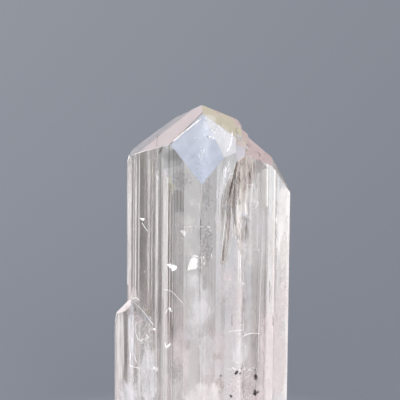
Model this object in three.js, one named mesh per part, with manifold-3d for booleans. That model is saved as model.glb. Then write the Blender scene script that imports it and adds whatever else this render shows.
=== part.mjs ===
// A danburite crystal: a tall lozenge prism with lengthwise striations and a roof-shaped top of flat faces.
// Smaller crystals grew onto it in parallel. It is cut off flat at the foot, where it grew on the rock.
// Millimetres, +Z up. The front, where the large lozenge face slopes at the top, looks along -Y.
import * as THREE from "three";
import { mergeVertices } from "three/addons/utils/BufferGeometryUtils.js";
import Module from "manifold-3d";

const wasm = await Module();
wasm.setup();

// Driving dimensions. Plan points are [across, forward] from the middle of the roof ridge: across is to the
// right and forward is towards the front. Heights count from the ridge, so everything else lies below zero.
const CRYSTAL_HEIGHT = 70;
const RIDGE_FRONT = 1.6; // how far the ridge reaches forwards
const RIDGE_BACK = 1.75; // and backwards
const FRONT_EDGE = [0.07, 9.94]; // the prism's front edge, under the lozenge face
const PAST_EVERYTHING = 120; // a length that clears the whole crystal

// Slopes of the roof faces, in degrees from level.
const FRONT_SLOPE = 43.9; // the {101} form, in front, at the back and on every smaller crystal
const STEP_SLOPE = 41.45; // the {011} form, to the right
const LEFT_SLOPE = 37.4;
const RIGHT_SLOPE = 34.5;

// The front of the prism, as facets from its front edge outwards: [width across, degrees turned from forwards].
const FRONT_LEFT = [
  [2.74, 45], [0.5, 41], [0.5, 49], [0.49, 44], [2.58, 52.4],
  [0.26, 31], [0.22, 55], [0.31, 33], [0.44, 50], [1.13, 42],
  [0.29, 62], [0.19, 28], [0.41, 60], [0.15, 30], [0.85, 52],
];
const FRONT_RIGHT = [[4.3, 44.6], [0.63, 46]];

// The corners behind them.
const LEFT_CORNER_BACK = [-10.25, -4.75];
const LEFT_SHOULDER_BACK = [-5.9, -6.05];
const BACK_EDGE = [0.35, -11.6];
const MAIN_RIGHT_BACK = [5.85, -6.6];
const MAIN_RIGHT_STEP = 0.6; // forwards of here the main crystal's right end stands a little further left

// Roof faces. Each looks `turn` degrees to the right of forwards, slopes down that way by `slope` degrees and
// goes through a point [across, forward, height].
const MAIN_ROOF = [
  { turn: 0, slope: FRONT_SLOPE, through: [0, RIDGE_FRONT, 0] },
  { turn: 180, slope: FRONT_SLOPE, through: [0, -RIDGE_BACK, 0] },
  { turn: -90, slope: LEFT_SLOPE, through: [0, 0, 0] },
  { turn: 90, slope: RIGHT_SLOPE, through: [0, 0, 0] },
  { turn: 41.8, slope: 39.8, through: [0.29, 1.95, -0.32] }, // the bright bevel at the lozenge's right
  { turn: -41.2, slope: 31.3, through: [0, RIDGE_FRONT, -0.076] }, // the narrow one at its left
  { turn: -97, slope: 38.5, through: [-7.02, -1.17, -5.37] }, // the greyer face at the left end
  { turn: -90, slope: 70, through: [-10.7, 0, -8.5] }, // the left shoulder
  { turn: -148, slope: 57, through: [-5.85, -5.09, -4.48] }, // the bevels behind
  { turn: 148, slope: 32.9, through: [2.05, -3.41, -1.41] },
  { turn: 100, slope: 62, through: [5.35, -5.3, -3.66] }, // the blunt corner above the lower crystal
];

// The lower crystal, grown against the right of the main one.
const LOWER = { start: 3.2, frontStart: 6.3, recess: 0.42, back: [9.6, -4.95] };
const LOWER_FRONT = [
  [2.26, 45], [0.42, 38], [0.42, 52], [1.75, 53], [0.15, 30], [0.95, 43], [0.15, 62], [2.1, 34],
];
const LOWER_ROOF = [
  { turn: 90, slope: STEP_SLOPE, through: [0, 0, -0.16] },
  { turn: 90, slope: 61.5, through: [10.36, 0, -9.2] },
  { turn: 0, slope: FRONT_SLOPE, through: [0, -0.31, 0] },
  { turn: 78, slope: 76, through: [12.75, 0, -13.4] },
];

// The thin crystals wedged between the two: the front one has a small bright face of its own.
const WEDGE_PLAN = [[4.9, 5.1], [6.3, 3.93], [6.3, -0.5], [4.9, -0.5]];
const WEDGE_ROOF = [
  { turn: 20, slope: 42, through: [4.93, 5.1, -6.47] },
  { turn: 90, slope: 25, through: [5, 0, -4.4] },
];
const BACK_WEDGE_PLAN = [[4.9, 0.6], [6.85, 0.6], [6.85, -4.95], [4.9, -4.95]];
const BACK_WEDGE_ROOF = [{ turn: 90, slope: STEP_SLOPE, through: [0, 0, 0.28] }];

// The small crystal at the lower left: a lozenge prism with a roof of its own.
const SIDE_LEFT = [-12.75, 2.05];
const SIDE_FRONT = [-9, 5.05];
const SIDE_RIGHT = [-6.75, 2.05];
const SIDE_BACK = [-9.75, -0.95];
const SIDE_TOP = -30.2;
const SIDE_ROOF = [
  { turn: 0, slope: FRONT_SLOPE, through: [0, 2.65, SIDE_TOP] },
  { turn: 180, slope: FRONT_SLOPE, through: [0, 0.3, SIDE_TOP] },
  { turn: -90, slope: 35, through: [-10.35, 0, SIDE_TOP] },
  { turn: 90, slope: STEP_SLOPE, through: [-10.35, 0, SIDE_TOP] },
  { turn: -90, slope: 78, through: [-12.45, 0, SIDE_TOP - 1.6] },
];

// Ridges of the striations that start below the top. Those in front run from `left` to `right` and stand out
// by `rise`, and their tops slope like the lozenge face, `drop` below it.
const FRONT_RIDGES = [
  { left: -6.78, right: -6.2, rise: 0.3, drop: 8.45 },
  { left: -5.75, right: -4.85, rise: 0.34, drop: 5.65 },
  { left: -4.78, right: -4.52, rise: 0.24, drop: 6.1 },
  { left: -4.4, right: -4.12, rise: 0.26, drop: 6.9 },
  { left: -3.9, right: -3.55, rise: 0.12, drop: 11.5 },
  { left: 6.35, right: 6.6, rise: 0.2, drop: 26 },
  { left: 8.4, right: 8.65, rise: 0.24, drop: 22.4 },
  { left: 9.55, right: 9.75, rise: 0.16, drop: 27 },
];
// Those behind: how many on each side, and how far down the highest and the lowest of them start.
const BACK_RIDGES = 6;
const BACK_RIDGE_TOPS = [9, 34];

// Small growth pits in the lozenge face: [across, forward, half width, half length].
const LOZENGE_PITS = [
  [-1.02, 4.49, 0.1, 0.12], [0.88, 4.35, 0.16, 0.2], [0.62, 4.9, 0.1, 0.12], [0.12, 6.2, 0.12, 0.34],
  [0.34, 6.6, 0.08, 0.24], [-0.73, 8.1, 0.09, 0.14], [-1.8, 7.7, 0.05, 0.07], [-2.3, 5.9, 0.06, 0.08],
  [1.5, 5.6, 0.05, 0.07], [-0.2, 3.3, 0.05, 0.06], [-3.1, 5.2, 0.05, 0.06], [1.1, 7.4, 0.05, 0.09],
];

// The etched groove between the two crystals. Each flute runs from its top down to its end, and `lean` is how
// far to the right of its top it ends.
const FLUTES = [
  { left: 4.85, right: 5.4, deep: 0.62, top: -6.5, end: -13.2, lean: -1.35 },
  { left: 3.75, right: 4.25, deep: 0.5, top: -11.6, end: -21.6, lean: -0.95 },
  { left: 6.75, right: 7.1, deep: 0.5, top: -8.2, end: -19.2, lean: -0.45 },
  { left: 4.7, right: 5.0, deep: 0.42, top: -12.8, end: -19.4, lean: 0.5 },
  { left: 5.5, right: 6.6, deep: 0.3, top: -6.9, end: -15.4, lean: 0 },
  { left: 7.15, right: 8.05, deep: 0.22, top: -7, end: -14.3, lean: 0 },
  { left: 3.4, right: 3.8, deep: 0.3, top: -8.8, end: -13.2, lean: -0.2 },
];
const PITS = { count: 15, left: 3.1, right: 7.9, top: -6.6 }; // long thin pits beside the flutes

// Chips around the foot, where the crystal came off the rock: a face and how high up the side it reaches.
const FOOT_CHIPS = [
  { turn: -30, slope: 138, at: [-9.8, 4.3], reach: 0.3 },
  { turn: 18, slope: 142, at: [0.4, 8.7], reach: 0.2 },
  { turn: 64, slope: 133, at: [11.7, -0.6], reach: 0.5 },
  { turn: 141, slope: 147, at: [7.2, -4.4], reach: 0.3 },
  { turn: -168, slope: 131, at: [-0.8, -10.3], reach: 0.7 },
  { turn: -101, slope: 144, at: [-11.3, 0.8], reach: 0.4 },
];

const FOOT = -CRYSTAL_HEIGHT;
const rad = THREE.MathUtils.degToRad;

// A share from 0 to 1 that looks irregular, and is the same each time.
const scatter = (i, seed) => ((i + 1) * 0.618034 * 7.13 + seed * 7.13) % 1;

// The closed solid of a three.js geometry.
function solidOf(geometry) {
  geometry.deleteAttribute("normal");
  geometry.deleteAttribute("uv");
  const merged = mergeVertices(geometry, 1e-4);
  return new wasm.Manifold(
    new wasm.Mesh({
      numProp: 3,
      vertProperties: new Float32Array(merged.attributes.position.array),
      triVerts: new Uint32Array(merged.index.array),
    }),
  );
}

// The geometry of an upright prism over a plan, from height zero up.
function prismGeometry(plan, height) {
  const outline = new THREE.Shape(plan.map(([across, forward]) => new THREE.Vector2(across, -forward)));
  return new THREE.ExtrudeGeometry(outline, { depth: height, bevelEnabled: false });
}

// Cuts away all that lies outside a flat face, which is given as the roof faces are.
function cutFace(solid, { turn, slope, through }) {
  const [across, forward, height] = through;
  const block = new THREE.BoxGeometry(PAST_EVERYTHING, PAST_EVERYTHING, PAST_EVERYTHING)
    .translate(0, 0, PAST_EVERYTHING / 2)
    .rotateX(rad(slope))
    .rotateZ(rad(turn))
    .translate(across, -forward, height);
  return solid.subtract(solidOf(block));
}

// A single crystal: a prism from the foot up, under a roof of flat faces.
function crystalOver(plan, roof) {
  const prism = solidOf(prismGeometry(plan, CRYSTAL_HEIGHT).translate(0, 0, FOOT));
  return roof.reduce(cutFace, prism);
}

const lowered = (face, drop) => {
  const [across, forward, height] = face.through;
  return { ...face, through: [across, forward, height - drop] };
};

// The points of a run of facets from a start point; side is -1 to run left and 1 to run right.
function facetRun([across, forward], facets, side) {
  return facets.map(([width, turned]) => {
    across += side * width;
    forward -= width * Math.tan(rad(turned));
    return [across, forward];
  });
}

// How far forward a line of plan points, ordered from left to right, lies at a place across.
function forwardAt(line, across) {
  const next = line.findIndex((point) => point[0] >= across);
  const [x0, y0] = line[next - 1];
  const [x1, y1] = line[next];
  return y0 + ((y1 - y0) * (across - x0)) / (x1 - x0);
}

// The plan's points between two corners, with shallow steps for striations that stand out by up to depth.
function striated(from, to, steps, depth, seed) {
  const along = new THREE.Vector2(to[0] - from[0], to[1] - from[1]);
  const outward = new THREE.Vector2(along.y, -along.x).normalize();
  const points = [];
  for (let i = 1; i < steps; i++) {
    const share = (i + 0.6 * (scatter(i, seed) - 0.5)) / steps;
    const lift = i % 2 ? depth * (0.35 + 0.65 * scatter(i, seed + 0.37)) : 0;
    points.push([from[0] + along.x * share + outward.x * lift, from[1] + along.y * share + outward.y * lift]);
  }
  return points;
}

const mainLeft = facetRun(FRONT_EDGE, FRONT_LEFT, -1);
const mainRight = facetRun(FRONT_EDGE, FRONT_RIGHT, 1);
const lowerStart = [mainRight.at(-1)[0], mainRight.at(-1)[1] - LOWER.recess];
const lowerFront = facetRun(lowerStart, LOWER_FRONT, 1);

// The whole front as one line from left to right.
const frontLine = [...mainLeft.toReversed(), FRONT_EDGE, mainRight[0], ...WEDGE_PLAN.slice(0, 2), ...lowerFront];

function mainCrystal() {
  const leftCorner = mainLeft.at(-1);
  const plan = [
    FRONT_EDGE, ...mainLeft,
    ...striated(leftCorner, LEFT_CORNER_BACK, 4, 0.1, 0.2), LEFT_CORNER_BACK,
    ...striated(LEFT_CORNER_BACK, LEFT_SHOULDER_BACK, 4, 0.16, 0.5), LEFT_SHOULDER_BACK,
    ...striated(LEFT_SHOULDER_BACK, BACK_EDGE, 14, 0.22, 0.8), BACK_EDGE,
    ...striated(BACK_EDGE, MAIN_RIGHT_BACK, 9, 0.2, 0.1), MAIN_RIGHT_BACK,
    [MAIN_RIGHT_BACK[0], MAIN_RIGHT_STEP], [mainRight.at(-1)[0], MAIN_RIGHT_STEP], ...mainRight.toReversed(),
  ];
  return crystalOver(plan, MAIN_ROOF);
}

function lowerCrystal() {
  const { start, frontStart, back } = LOWER;
  const corner = lowerFront.at(-1);
  const cornerBack = [corner[0] - 0.25, corner[1] - 0.75];
  const plan = [
    [start, back[1]], back, ...striated(back, cornerBack, 6, 0.14, 0.3), cornerBack,
    ...lowerFront.toReversed(),
    [frontStart, forwardAt([lowerStart, ...lowerFront], frontStart)],
    [frontStart, MAIN_RIGHT_STEP], [start, MAIN_RIGHT_STEP],
  ];
  return crystalOver(plan, LOWER_ROOF);
}

function sideCrystal() {
  const plan = [
    SIDE_FRONT, ...striated(SIDE_FRONT, SIDE_LEFT, 8, 0.2, 0.15),
    SIDE_LEFT, ...striated(SIDE_LEFT, SIDE_BACK, 5, 0.12, 0.45),
    SIDE_BACK,
    SIDE_RIGHT, ...striated(SIDE_RIGHT, SIDE_FRONT, 7, 0.12, 0.65),
  ];
  return crystalOver(plan, SIDE_ROOF);
}

function frontRidge({ left, right, rise, drop }) {
  const inner = 0.5;
  const crest = left + 0.35 * (right - left);
  const flank = right - 0.1 * (right - left);
  const plan = [
    [left, forwardAt(frontLine, left)],
    [crest, forwardAt(frontLine, crest) + rise],
    [flank, forwardAt(frontLine, flank) + rise * 0.6],
    [right, forwardAt(frontLine, right)],
    [right, forwardAt(frontLine, right) - inner],
    [left, forwardAt(frontLine, left) - inner],
  ];
  return crystalOver(plan, [lowered(MAIN_ROOF[0], drop)]);
}

// A ridge on the straight line between two corners behind.
function backRidge(from, to, i, seed) {
  const along = new THREE.Vector2(to[0] - from[0], to[1] - from[1]);
  const outward = new THREE.Vector2(along.y, -along.x).normalize();
  const place = (i + 0.5 + 0.5 * (scatter(i, seed) - 0.5)) / BACK_RIDGES;
  const halfWidth = (0.14 + 0.22 * scatter(i, seed + 0.4)) / along.length();
  const rise = 0.2 + 0.2 * scatter(i, seed + 0.7);
  const point = (share, out) => [
    from[0] + along.x * share + outward.x * out,
    from[1] + along.y * share + outward.y * out,
  ];
  const plan = [
    point(place - halfWidth, -0.4), point(place - halfWidth, 0.05), point(place - 0.3 * halfWidth, rise),
    point(place + 0.6 * halfWidth, 0.8 * rise), point(place + halfWidth, 0.05), point(place + halfWidth, -0.4),
  ];
  const drop = THREE.MathUtils.lerp(...BACK_RIDGE_TOPS, scatter(i, seed + 0.2));
  return crystalOver(plan, [lowered(MAIN_ROOF[1], drop)]);
}

// A flute of the groove: a long notch with a pointed plan and a sloping ledge at its end.
function flute({ left, right, deep, top, end, lean }) {
  const outside = 2;
  const middle = (left + right + lean) / 2;
  const forward = forwardAt(frontLine, middle);
  const half = (right - left) / 2;
  const plan = [
    [left, forward + outside], [left, forward + half],
    [left + 0.8 * half, forward - deep],
    [right, forward - half], [right, forward + outside],
  ];
  const length = top - end;
  const notch = prismGeometry(plan, length)
    .applyMatrix4(new THREE.Matrix4().makeShear(0, 0, 0, 0, -lean / length, -lean / length))
    .translate(lean, lean / 2, end);
  return cutFace(solidOf(notch), { turn: 0, slope: 180 + FRONT_SLOPE, through: [0, forward, end + deep] });
}

// A long pit beside the flutes, pointed at both ends. Those at the left lean left on their way down.
function groovePit(i) {
  const share = (i + 0.5) / PITS.count;
  const across = THREE.MathUtils.lerp(PITS.left, PITS.right, share) + 0.12 * (scatter(i, 0.3) - 0.5);
  const length = 5 + 9 * scatter(i, 0.55);
  const lean = 1.1 * (1 - share) * (length / 14);
  const middle = PITS.top - 0.5 * length - 1.8 * scatter(i, 0.9) + 1.6 * share;
  const pit = new THREE.OctahedronGeometry(1, 0)
    .rotateZ(rad(45))
    .scale(0.2 + 0.22 * scatter(i, 0.7), 0.25 + 0.6 * scatter(i, 0.1), length / 2)
    .applyMatrix4(new THREE.Matrix4().makeShear(0, 0, 0, 0, (2 * lean) / length, 0))
    .translate(across - lean / 2, -forwardAt(frontLine, across), middle);
  return solidOf(pit);
}

// A shallow pit in the lozenge face, pointed at both ends.
function lozengePit([across, forward, halfWidth, halfLength]) {
  const height = -(forward - RIDGE_FRONT) * Math.tan(rad(FRONT_SLOPE));
  const pit = new THREE.OctahedronGeometry(1, 0)
    .scale(halfWidth, halfLength, 0.6 * halfWidth)
    .rotateX(rad(FRONT_SLOPE))
    .translate(across, -forward, height);
  return solidOf(pit);
}

const footChip = ({ turn, slope, at, reach }) => ({ turn, slope, through: [...at, FOOT + reach] });

function danburite() {
  const backSides = [
    [LEFT_SHOULDER_BACK, BACK_EDGE, 0.15],
    [BACK_EDGE, MAIN_RIGHT_BACK, 0.6],
  ];
  const grown = [
    mainCrystal(),
    lowerCrystal(),
    sideCrystal(),
    crystalOver(WEDGE_PLAN, WEDGE_ROOF),
    crystalOver(BACK_WEDGE_PLAN, BACK_WEDGE_ROOF),
    ...FRONT_RIDGES.map(frontRidge),
  ];
  const etched = [...LOZENGE_PITS.map(lozengePit), ...FLUTES.map(flute)];
  for (let i = 0; i < BACK_RIDGES; i++) {
    for (const [from, to, seed] of backSides) grown.push(backRidge(from, to, i, seed));
  }
  for (let i = 0; i < PITS.count; i++) etched.push(groovePit(i));
  const whole = grown.reduce((sum, next) => sum.add(next));
  const worn = etched.reduce((rest, next) => rest.subtract(next), whole);
  return FOOT_CHIPS.map(footChip).reduce(cutFace, worn);
}

// The mesh of a solid, moved so that the middle of its foot is at the origin.
function geometryOf(solid) {
  const mesh = solid.getMesh();
  const geometry = new THREE.BufferGeometry();
  geometry.setAttribute("position", new THREE.BufferAttribute(mesh.vertProperties, 3));
  geometry.setIndex(new THREE.BufferAttribute(mesh.triVerts, 1));
  geometry.computeBoundingBox();
  const { min, max } = geometry.boundingBox;
  geometry.translate(-(min.x + max.x) / 2, -(min.y + max.y) / 2, -min.z);
  geometry.computeVertexNormals();
  return geometry;
}

const clearPalePink = new THREE.MeshStandardMaterial({
  color: 0xe8dcdc,
  roughness: 0.06,
  metalness: 0,
  transparent: true,
  opacity: 0.6,
});

const crystal = new THREE.Mesh(geometryOf(danburite()), clearPalePink);
crystal.name = "danburite_crystal";
const part = new THREE.Group();
part.add(crystal);

export default part;
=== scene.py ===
import math
import random

import bmesh
import bpy
from mathutils import Matrix, Vector
from mathutils.bvhtree import BVHTree


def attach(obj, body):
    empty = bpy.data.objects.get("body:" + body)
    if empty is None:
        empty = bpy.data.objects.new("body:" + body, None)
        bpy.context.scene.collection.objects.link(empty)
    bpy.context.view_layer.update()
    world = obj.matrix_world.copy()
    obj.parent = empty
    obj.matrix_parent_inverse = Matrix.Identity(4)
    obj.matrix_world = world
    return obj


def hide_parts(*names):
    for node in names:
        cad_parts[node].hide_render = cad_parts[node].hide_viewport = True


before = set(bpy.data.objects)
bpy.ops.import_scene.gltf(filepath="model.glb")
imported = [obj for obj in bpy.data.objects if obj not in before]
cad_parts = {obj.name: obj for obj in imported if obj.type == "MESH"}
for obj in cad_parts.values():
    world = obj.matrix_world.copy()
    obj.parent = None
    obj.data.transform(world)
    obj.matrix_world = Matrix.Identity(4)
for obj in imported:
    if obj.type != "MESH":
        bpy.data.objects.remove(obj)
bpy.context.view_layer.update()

MM = 0.001
DANBURITE_INDEX = 1.633
ACROSS, BACKWARDS, UPWARDS = 0, 1, 2

# The photograph looks down at the crystal's roof from far off, with a long lens. Its places are in pixels.
PHOTO_SIDE = 400
PHOTO_FOCAL = 4100
VIEW_DOWN = math.radians(21.5)
VIEW_ROLL = math.radians(-0.45)
VIEW_AWAY = 600 * MM
RIDGE_MIDDLE = Vector((-0.225, -0.83, 70)) * MM
RIDGE_SEEN_AT = (202, 109.1)


def photo_view():
    """Where the camera stands, and which ways are right, up and ahead for it."""
    ahead = Vector((0, math.cos(VIEW_DOWN), -math.sin(VIEW_DOWN)))
    level_right = Vector((1, 0, 0))
    level_up = Vector((0, math.sin(VIEW_DOWN), math.cos(VIEW_DOWN)))
    right = level_right * math.cos(VIEW_ROLL) - level_up * math.sin(VIEW_ROLL)
    up = level_right * math.sin(VIEW_ROLL) + level_up * math.cos(VIEW_ROLL)
    across = (RIDGE_SEEN_AT[0] - PHOTO_SIDE / 2) / PHOTO_FOCAL * VIEW_AWAY
    above = (PHOTO_SIDE / 2 - RIDGE_SEEN_AT[1]) / PHOTO_FOCAL * VIEW_AWAY
    eye = RIDGE_MIDDLE - ahead * VIEW_AWAY - right * across - up * above
    return eye, right, up, ahead


EYE, RIGHT, UP, AHEAD = photo_view()


def make_camera():
    camera = bpy.data.objects.new("photo_camera", bpy.data.cameras.new("photo_camera"))
    camera.data.sensor_width = 36
    camera.data.lens = camera.data.sensor_width * PHOTO_FOCAL / PHOTO_SIDE
    camera.data.clip_start = 10 * MM
    turn = Matrix((RIGHT, UP, -AHEAD)).transposed()
    camera.matrix_world = Matrix.Translation(EYE) @ turn.to_4x4()
    bpy.context.scene.collection.objects.link(camera)
    bpy.context.scene.camera = camera


# Meshes and material nodes


def placed_object(name, mesh):
    thing = bpy.data.objects.new(name, mesh)
    bpy.context.scene.collection.objects.link(thing)
    return thing


def plain_mesh_object(name, build):
    """An object at the origin whose mesh is made by build, which fills a bmesh."""
    shape = bmesh.new()
    build(shape)
    mesh = bpy.data.meshes.new(name)
    shape.to_mesh(mesh)
    shape.free()
    return placed_object(name, mesh)


def ride_along(piece):
    """Makes a piece part of the crystal."""
    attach(piece, "root")


def new_material(name):
    """A new material, its tree and its Principled BSDF."""
    material = bpy.data.materials.new(name)
    material.use_nodes = True
    return material, material.node_tree, material.node_tree.nodes["Principled BSDF"]


def node(tree, kind, values=None, **settings):
    """Adds a node. values holds its inputs by name or number, each a plain value or a socket to link."""
    made = tree.nodes.new(kind)
    for name, value in settings.items():
        setattr(made, name, value)
    for name, value in (values or {}).items():
        if isinstance(value, bpy.types.NodeSocket):
            tree.links.new(value, made.inputs[name])
        else:
            made.inputs[name].default_value = value
    return made


def colour_between(tree, share, first, second):
    mixed = node(tree, "ShaderNodeMix", {0: share, 6: first, 7: second}, data_type="RGBA")
    return mixed.outputs[2]


def multiplied(tree, first, second):
    values = {0: 1.0, 6: first, 7: second}
    return node(tree, "ShaderNodeMix", values, data_type="RGBA", blend_type="MULTIPLY").outputs[2]


def ranged(tree, value, low, high, to_low=0.0, to_high=1.0, smooth=False):
    kind = "SMOOTHSTEP" if smooth else "LINEAR"
    values = {"Value": value, "From Min": low, "From Max": high, "To Min": to_low, "To Max": to_high}
    return node(tree, "ShaderNodeMapRange", values, interpolation_type=kind).outputs["Result"]


def between(tree, share, at_none, at_full):
    """A number that goes from at_none to at_full as share goes from 0 to 1."""
    return ranged(tree, share, 0.0, 1.0, at_none, at_full)


def maths(tree, operation, first, second=0.0):
    return node(tree, "ShaderNodeMath", {0: first, 1: second}, operation=operation).outputs[0]


def product(tree, *factors):
    whole = factors[0]
    for factor in factors[1:]:
        whole = maths(tree, "MULTIPLY", whole, factor)
    return whole


def placed(tree, stretch=(1, 1, 1)):
    """The piece's own coordinates, stretched."""
    own = node(tree, "ShaderNodeTexCoord").outputs["Object"]
    return node(tree, "ShaderNodeMapping", {"Vector": own, "Scale": stretch}).outputs[0]


def place_along(tree, axis):
    """How far along an axis a point of the piece lies, in metres."""
    return node(tree, "ShaderNodeSeparateXYZ", {0: placed(tree)}).outputs[axis]


def noise_pattern(tree, scale, detail, stretch=(1, 1, 1), roughness=0.5):
    values = {"Vector": placed(tree, stretch), "Scale": scale, "Detail": detail, "Roughness": roughness}
    return node(tree, "ShaderNodeTexNoise", values).outputs[0]


# Stage


def make_floor():
    """A floor, pale round the crystal and greyer farther off, with painted light that makes it lighter
    behind the crystal on the left.
    """
    half = 3.0
    under_foot = -0.02 * MM
    pale_to = 20 * MM
    grey_from = 58 * MM
    leftwards = -2.0
    painted_light_from = 0.36
    pale = (0.70, 0.69, 0.69, 1)
    grey = (0.152, 0.167, 0.187, 1)
    painted_light_grey = (0.220, 0.238, 0.258, 1)

    def sheet(shape):
        sides = ((-half, -half), (half, -half), (half, half), (-half, half))
        shape.faces.new([shape.verts.new((x, y, under_foot)) for x, y in sides])

    floor = plain_mesh_object("floor", sheet)
    material, tree, surface = new_material("pale_floor")
    away = node(tree, "ShaderNodeVectorMath", {0: placed(tree)}, operation="LENGTH").outputs["Value"]
    far_off = ranged(tree, away, pale_to, grey_from, smooth=True)
    # Painted light: the floor grows lighter towards the back and the left.
    to_left = maths(tree, "MULTIPLY", place_along(tree, ACROSS), leftwards)
    back_left = maths(tree, "ADD", place_along(tree, BACKWARDS), to_left)
    outer = colour_between(tree, ranged(tree, back_left, 0.0, painted_light_from), grey, painted_light_grey)
    tree.links.new(colour_between(tree, far_off, pale, outer), surface.inputs["Base Color"])
    surface.inputs["Roughness"].default_value = 0.9
    surface.inputs["Specular IOR Level"].default_value = 0.1
    floor.data.materials.append(material)


# What the sides of the crystal see round them, by degrees from straight behind it to the right: a dark card
# behind on the right, soft white ones at the sides and a bright one behind on the left
TENT_TONES = (
    (0, (0.32, 0.325, 0.34)),
    (20, (0.36, 0.365, 0.37)),
    (30, (0.20, 0.19, 0.18)),
    (38, (0.08, 0.07, 0.06)),
    (54, (0.08, 0.07, 0.06)),
    (62, (0.26, 0.255, 0.25)),
    (72, (0.36, 0.36, 0.37)),
    (88, (0.36, 0.36, 0.37)),
    (100, (0.66, 0.645, 0.63)),
    (114, (0.76, 0.74, 0.73)),
    (126, (0.66, 0.645, 0.63)),
    (140, (0.36, 0.355, 0.35)),
    (165, (0.36, 0.36, 0.37)),
    (182, (0.46, 0.46, 0.47)),
    (200, (0.34, 0.34, 0.345)),
    (220, (0.26, 0.255, 0.25)),
    (238, (0.62, 0.61, 0.60)),
    (256, (0.62, 0.61, 0.60)),
    (272, (0.44, 0.44, 0.445)),
    (296, (0.46, 0.455, 0.45)),
    (304, (0.90, 0.885, 0.87)),
    (314, (0.80, 0.79, 0.78)),
    (322, (1.00, 0.98, 0.96)),
    (334, (1.00, 0.98, 0.96)),
    (341, (0.38, 0.38, 0.39)),
    (351, (0.30, 0.305, 0.32)),
)


def make_light_tent():
    """A low ring of cards round the crystal, which only its own reflections and refractions show."""
    radius = 40 * MM
    height = 58 * MM
    sides = 96
    brightness = 1.7

    def ring(shape):
        bmesh.ops.create_cone(
            shape, segments=sides, radius1=radius, radius2=radius, depth=height, cap_ends=False)
        bmesh.ops.translate(shape, verts=shape.verts, vec=(0, 0, height / 2))

    tent = plain_mesh_object("light_tent", ring)
    material, tree, _ = new_material("tent_light")
    own = node(tree, "ShaderNodeTexCoord").outputs["Object"]
    parts = node(tree, "ShaderNodeSeparateXYZ", {0: own})
    angle = maths(tree, "ARCTAN2", parts.outputs[0], parts.outputs[1])
    turn = maths(tree, "FRACT", maths(tree, "DIVIDE", angle, math.tau))
    tones = node(tree, "ShaderNodeValToRGB", {0: turn})
    stops = tones.color_ramp.elements
    while len(stops) > 1:
        stops.remove(stops[-1])
    first_tone = TENT_TONES[0][1]
    stops[0].color = (*first_tone, 1)
    for degrees, tone in TENT_TONES[1:]:
        stop = stops.new(degrees / 360)
        stop.color = (*tone, 1)
    last = stops.new(1.0)
    last.color = (*first_tone, 1)
    glow = node(tree, "ShaderNodeEmission", {"Color": tones.outputs["Color"], "Strength": brightness})
    tree.links.new(glow.outputs[0], tree.nodes["Material Output"].inputs["Surface"])
    tent.data.materials.append(material)
    tent.visible_camera = False
    tent.visible_diffuse = False
    tent.visible_shadow = False


def softbox(name, towards, away, wide, tall, radiance, colour):
    """A soft lamp that faces the crystal's upper half."""
    middle = Vector((0, 0, 55)) * MM
    lamp = bpy.data.lights.new(name, "AREA")
    lamp.shape = "RECTANGLE"
    lamp.size = wide
    lamp.size_y = tall
    lamp.energy = radiance * math.pi * wide * tall
    lamp.color = colour
    thing = placed_object(name, lamp)
    way = Vector(towards).normalized()
    turn = (-way).to_track_quat("-Z", "Y").to_matrix().to_4x4()
    thing.matrix_world = Matrix.Translation(middle + way * away) @ turn
    thing.visible_camera = False


def make_lights():
    softbox("overhead_softbox", towards=(0, -0.33, 0.943), away=1.0, wide=0.75, tall=0.75,
            radiance=3.2, colour=(0.68, 0.79, 1.0))
    softbox("right_softbox", towards=(0.62, 0.25, 0.74), away=1.0, wide=0.45, tall=0.45,
            radiance=2.8, colour=(1.0, 1.0, 0.99))
    softbox("left_softbox", towards=(-0.8, 0.1, 0.55), away=1.0, wide=0.6, tall=0.6,
            radiance=1.6, colour=(1.0, 0.97, 0.96))
    softbox("front_softbox", towards=(0.1, -0.9, 0.43), away=1.2, wide=1.0, tall=0.6,
            radiance=4.5, colour=(1.0, 0.985, 0.975))
    world = bpy.data.worlds.new("studio_air")
    bpy.context.scene.world = world
    world.use_nodes = True
    air = world.node_tree.nodes["Background"]
    air.inputs["Color"].default_value = (0.62, 0.58, 0.585, 1)
    air.inputs["Strength"].default_value = 1.15


# Crystal


def crystal_solid():
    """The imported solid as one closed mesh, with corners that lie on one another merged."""
    same_corner = 0.0005 * MM
    shape = bmesh.new()
    shape.from_mesh(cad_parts["danburite_crystal"].data)
    bmesh.ops.remove_doubles(shape, verts=shape.verts, dist=same_corner)
    return shape


def crystal_walls():
    """The crystal's surface, for finding where a line meets it."""
    shape = crystal_solid()
    bmesh.ops.recalc_face_normals(shape, faces=shape.faces)
    walls = BVHTree.FromBMesh(shape, epsilon=0.0)
    shape.free()
    return walls


WALLS = crystal_walls()

# Two places on the prism's front edge
FRONT_EDGE = (Vector((-0.155, -10.77, 55)) * MM, Vector((-0.155, -10.77, 5)) * MM)


def sight_line(x, y):
    """The way in which the camera sees a pixel of the photograph."""
    half = PHOTO_SIDE / 2
    return (AHEAD * PHOTO_FOCAL + RIGHT * (x - half) - UP * (y - half)).normalized()


def seen_place(x, y, deep=0.0):
    """The place that shows at a pixel, or the one that lies deep under it along the bent sight line."""
    way = sight_line(x, y)
    place, normal, _, _ = WALLS.ray_cast(EYE, way)
    slant = -way.dot(normal)
    bent = math.sqrt(1 - (1 - slant * slant) / DANBURITE_INDEX ** 2)
    inner = way / DANBURITE_INDEX + normal * (slant / DANBURITE_INDEX - bent)
    return place + inner.normalized() * deep


def sees_crystal(x, y):
    """True where a pixel of the photograph shows the crystal, with a little to spare."""
    spare = 1.0
    return all(WALLS.ray_cast(EYE, sight_line(x + side, y))[0] for side in (-spare, 0, spare))


def seen_at(place):
    """The pixel of the photograph at which a place shows."""
    from_eye = place - EYE
    reach = PHOTO_FOCAL / from_eye.dot(AHEAD)
    half = PHOTO_SIDE / 2
    return half + from_eye.dot(RIGHT) * reach, half - from_eye.dot(UP) * reach


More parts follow.
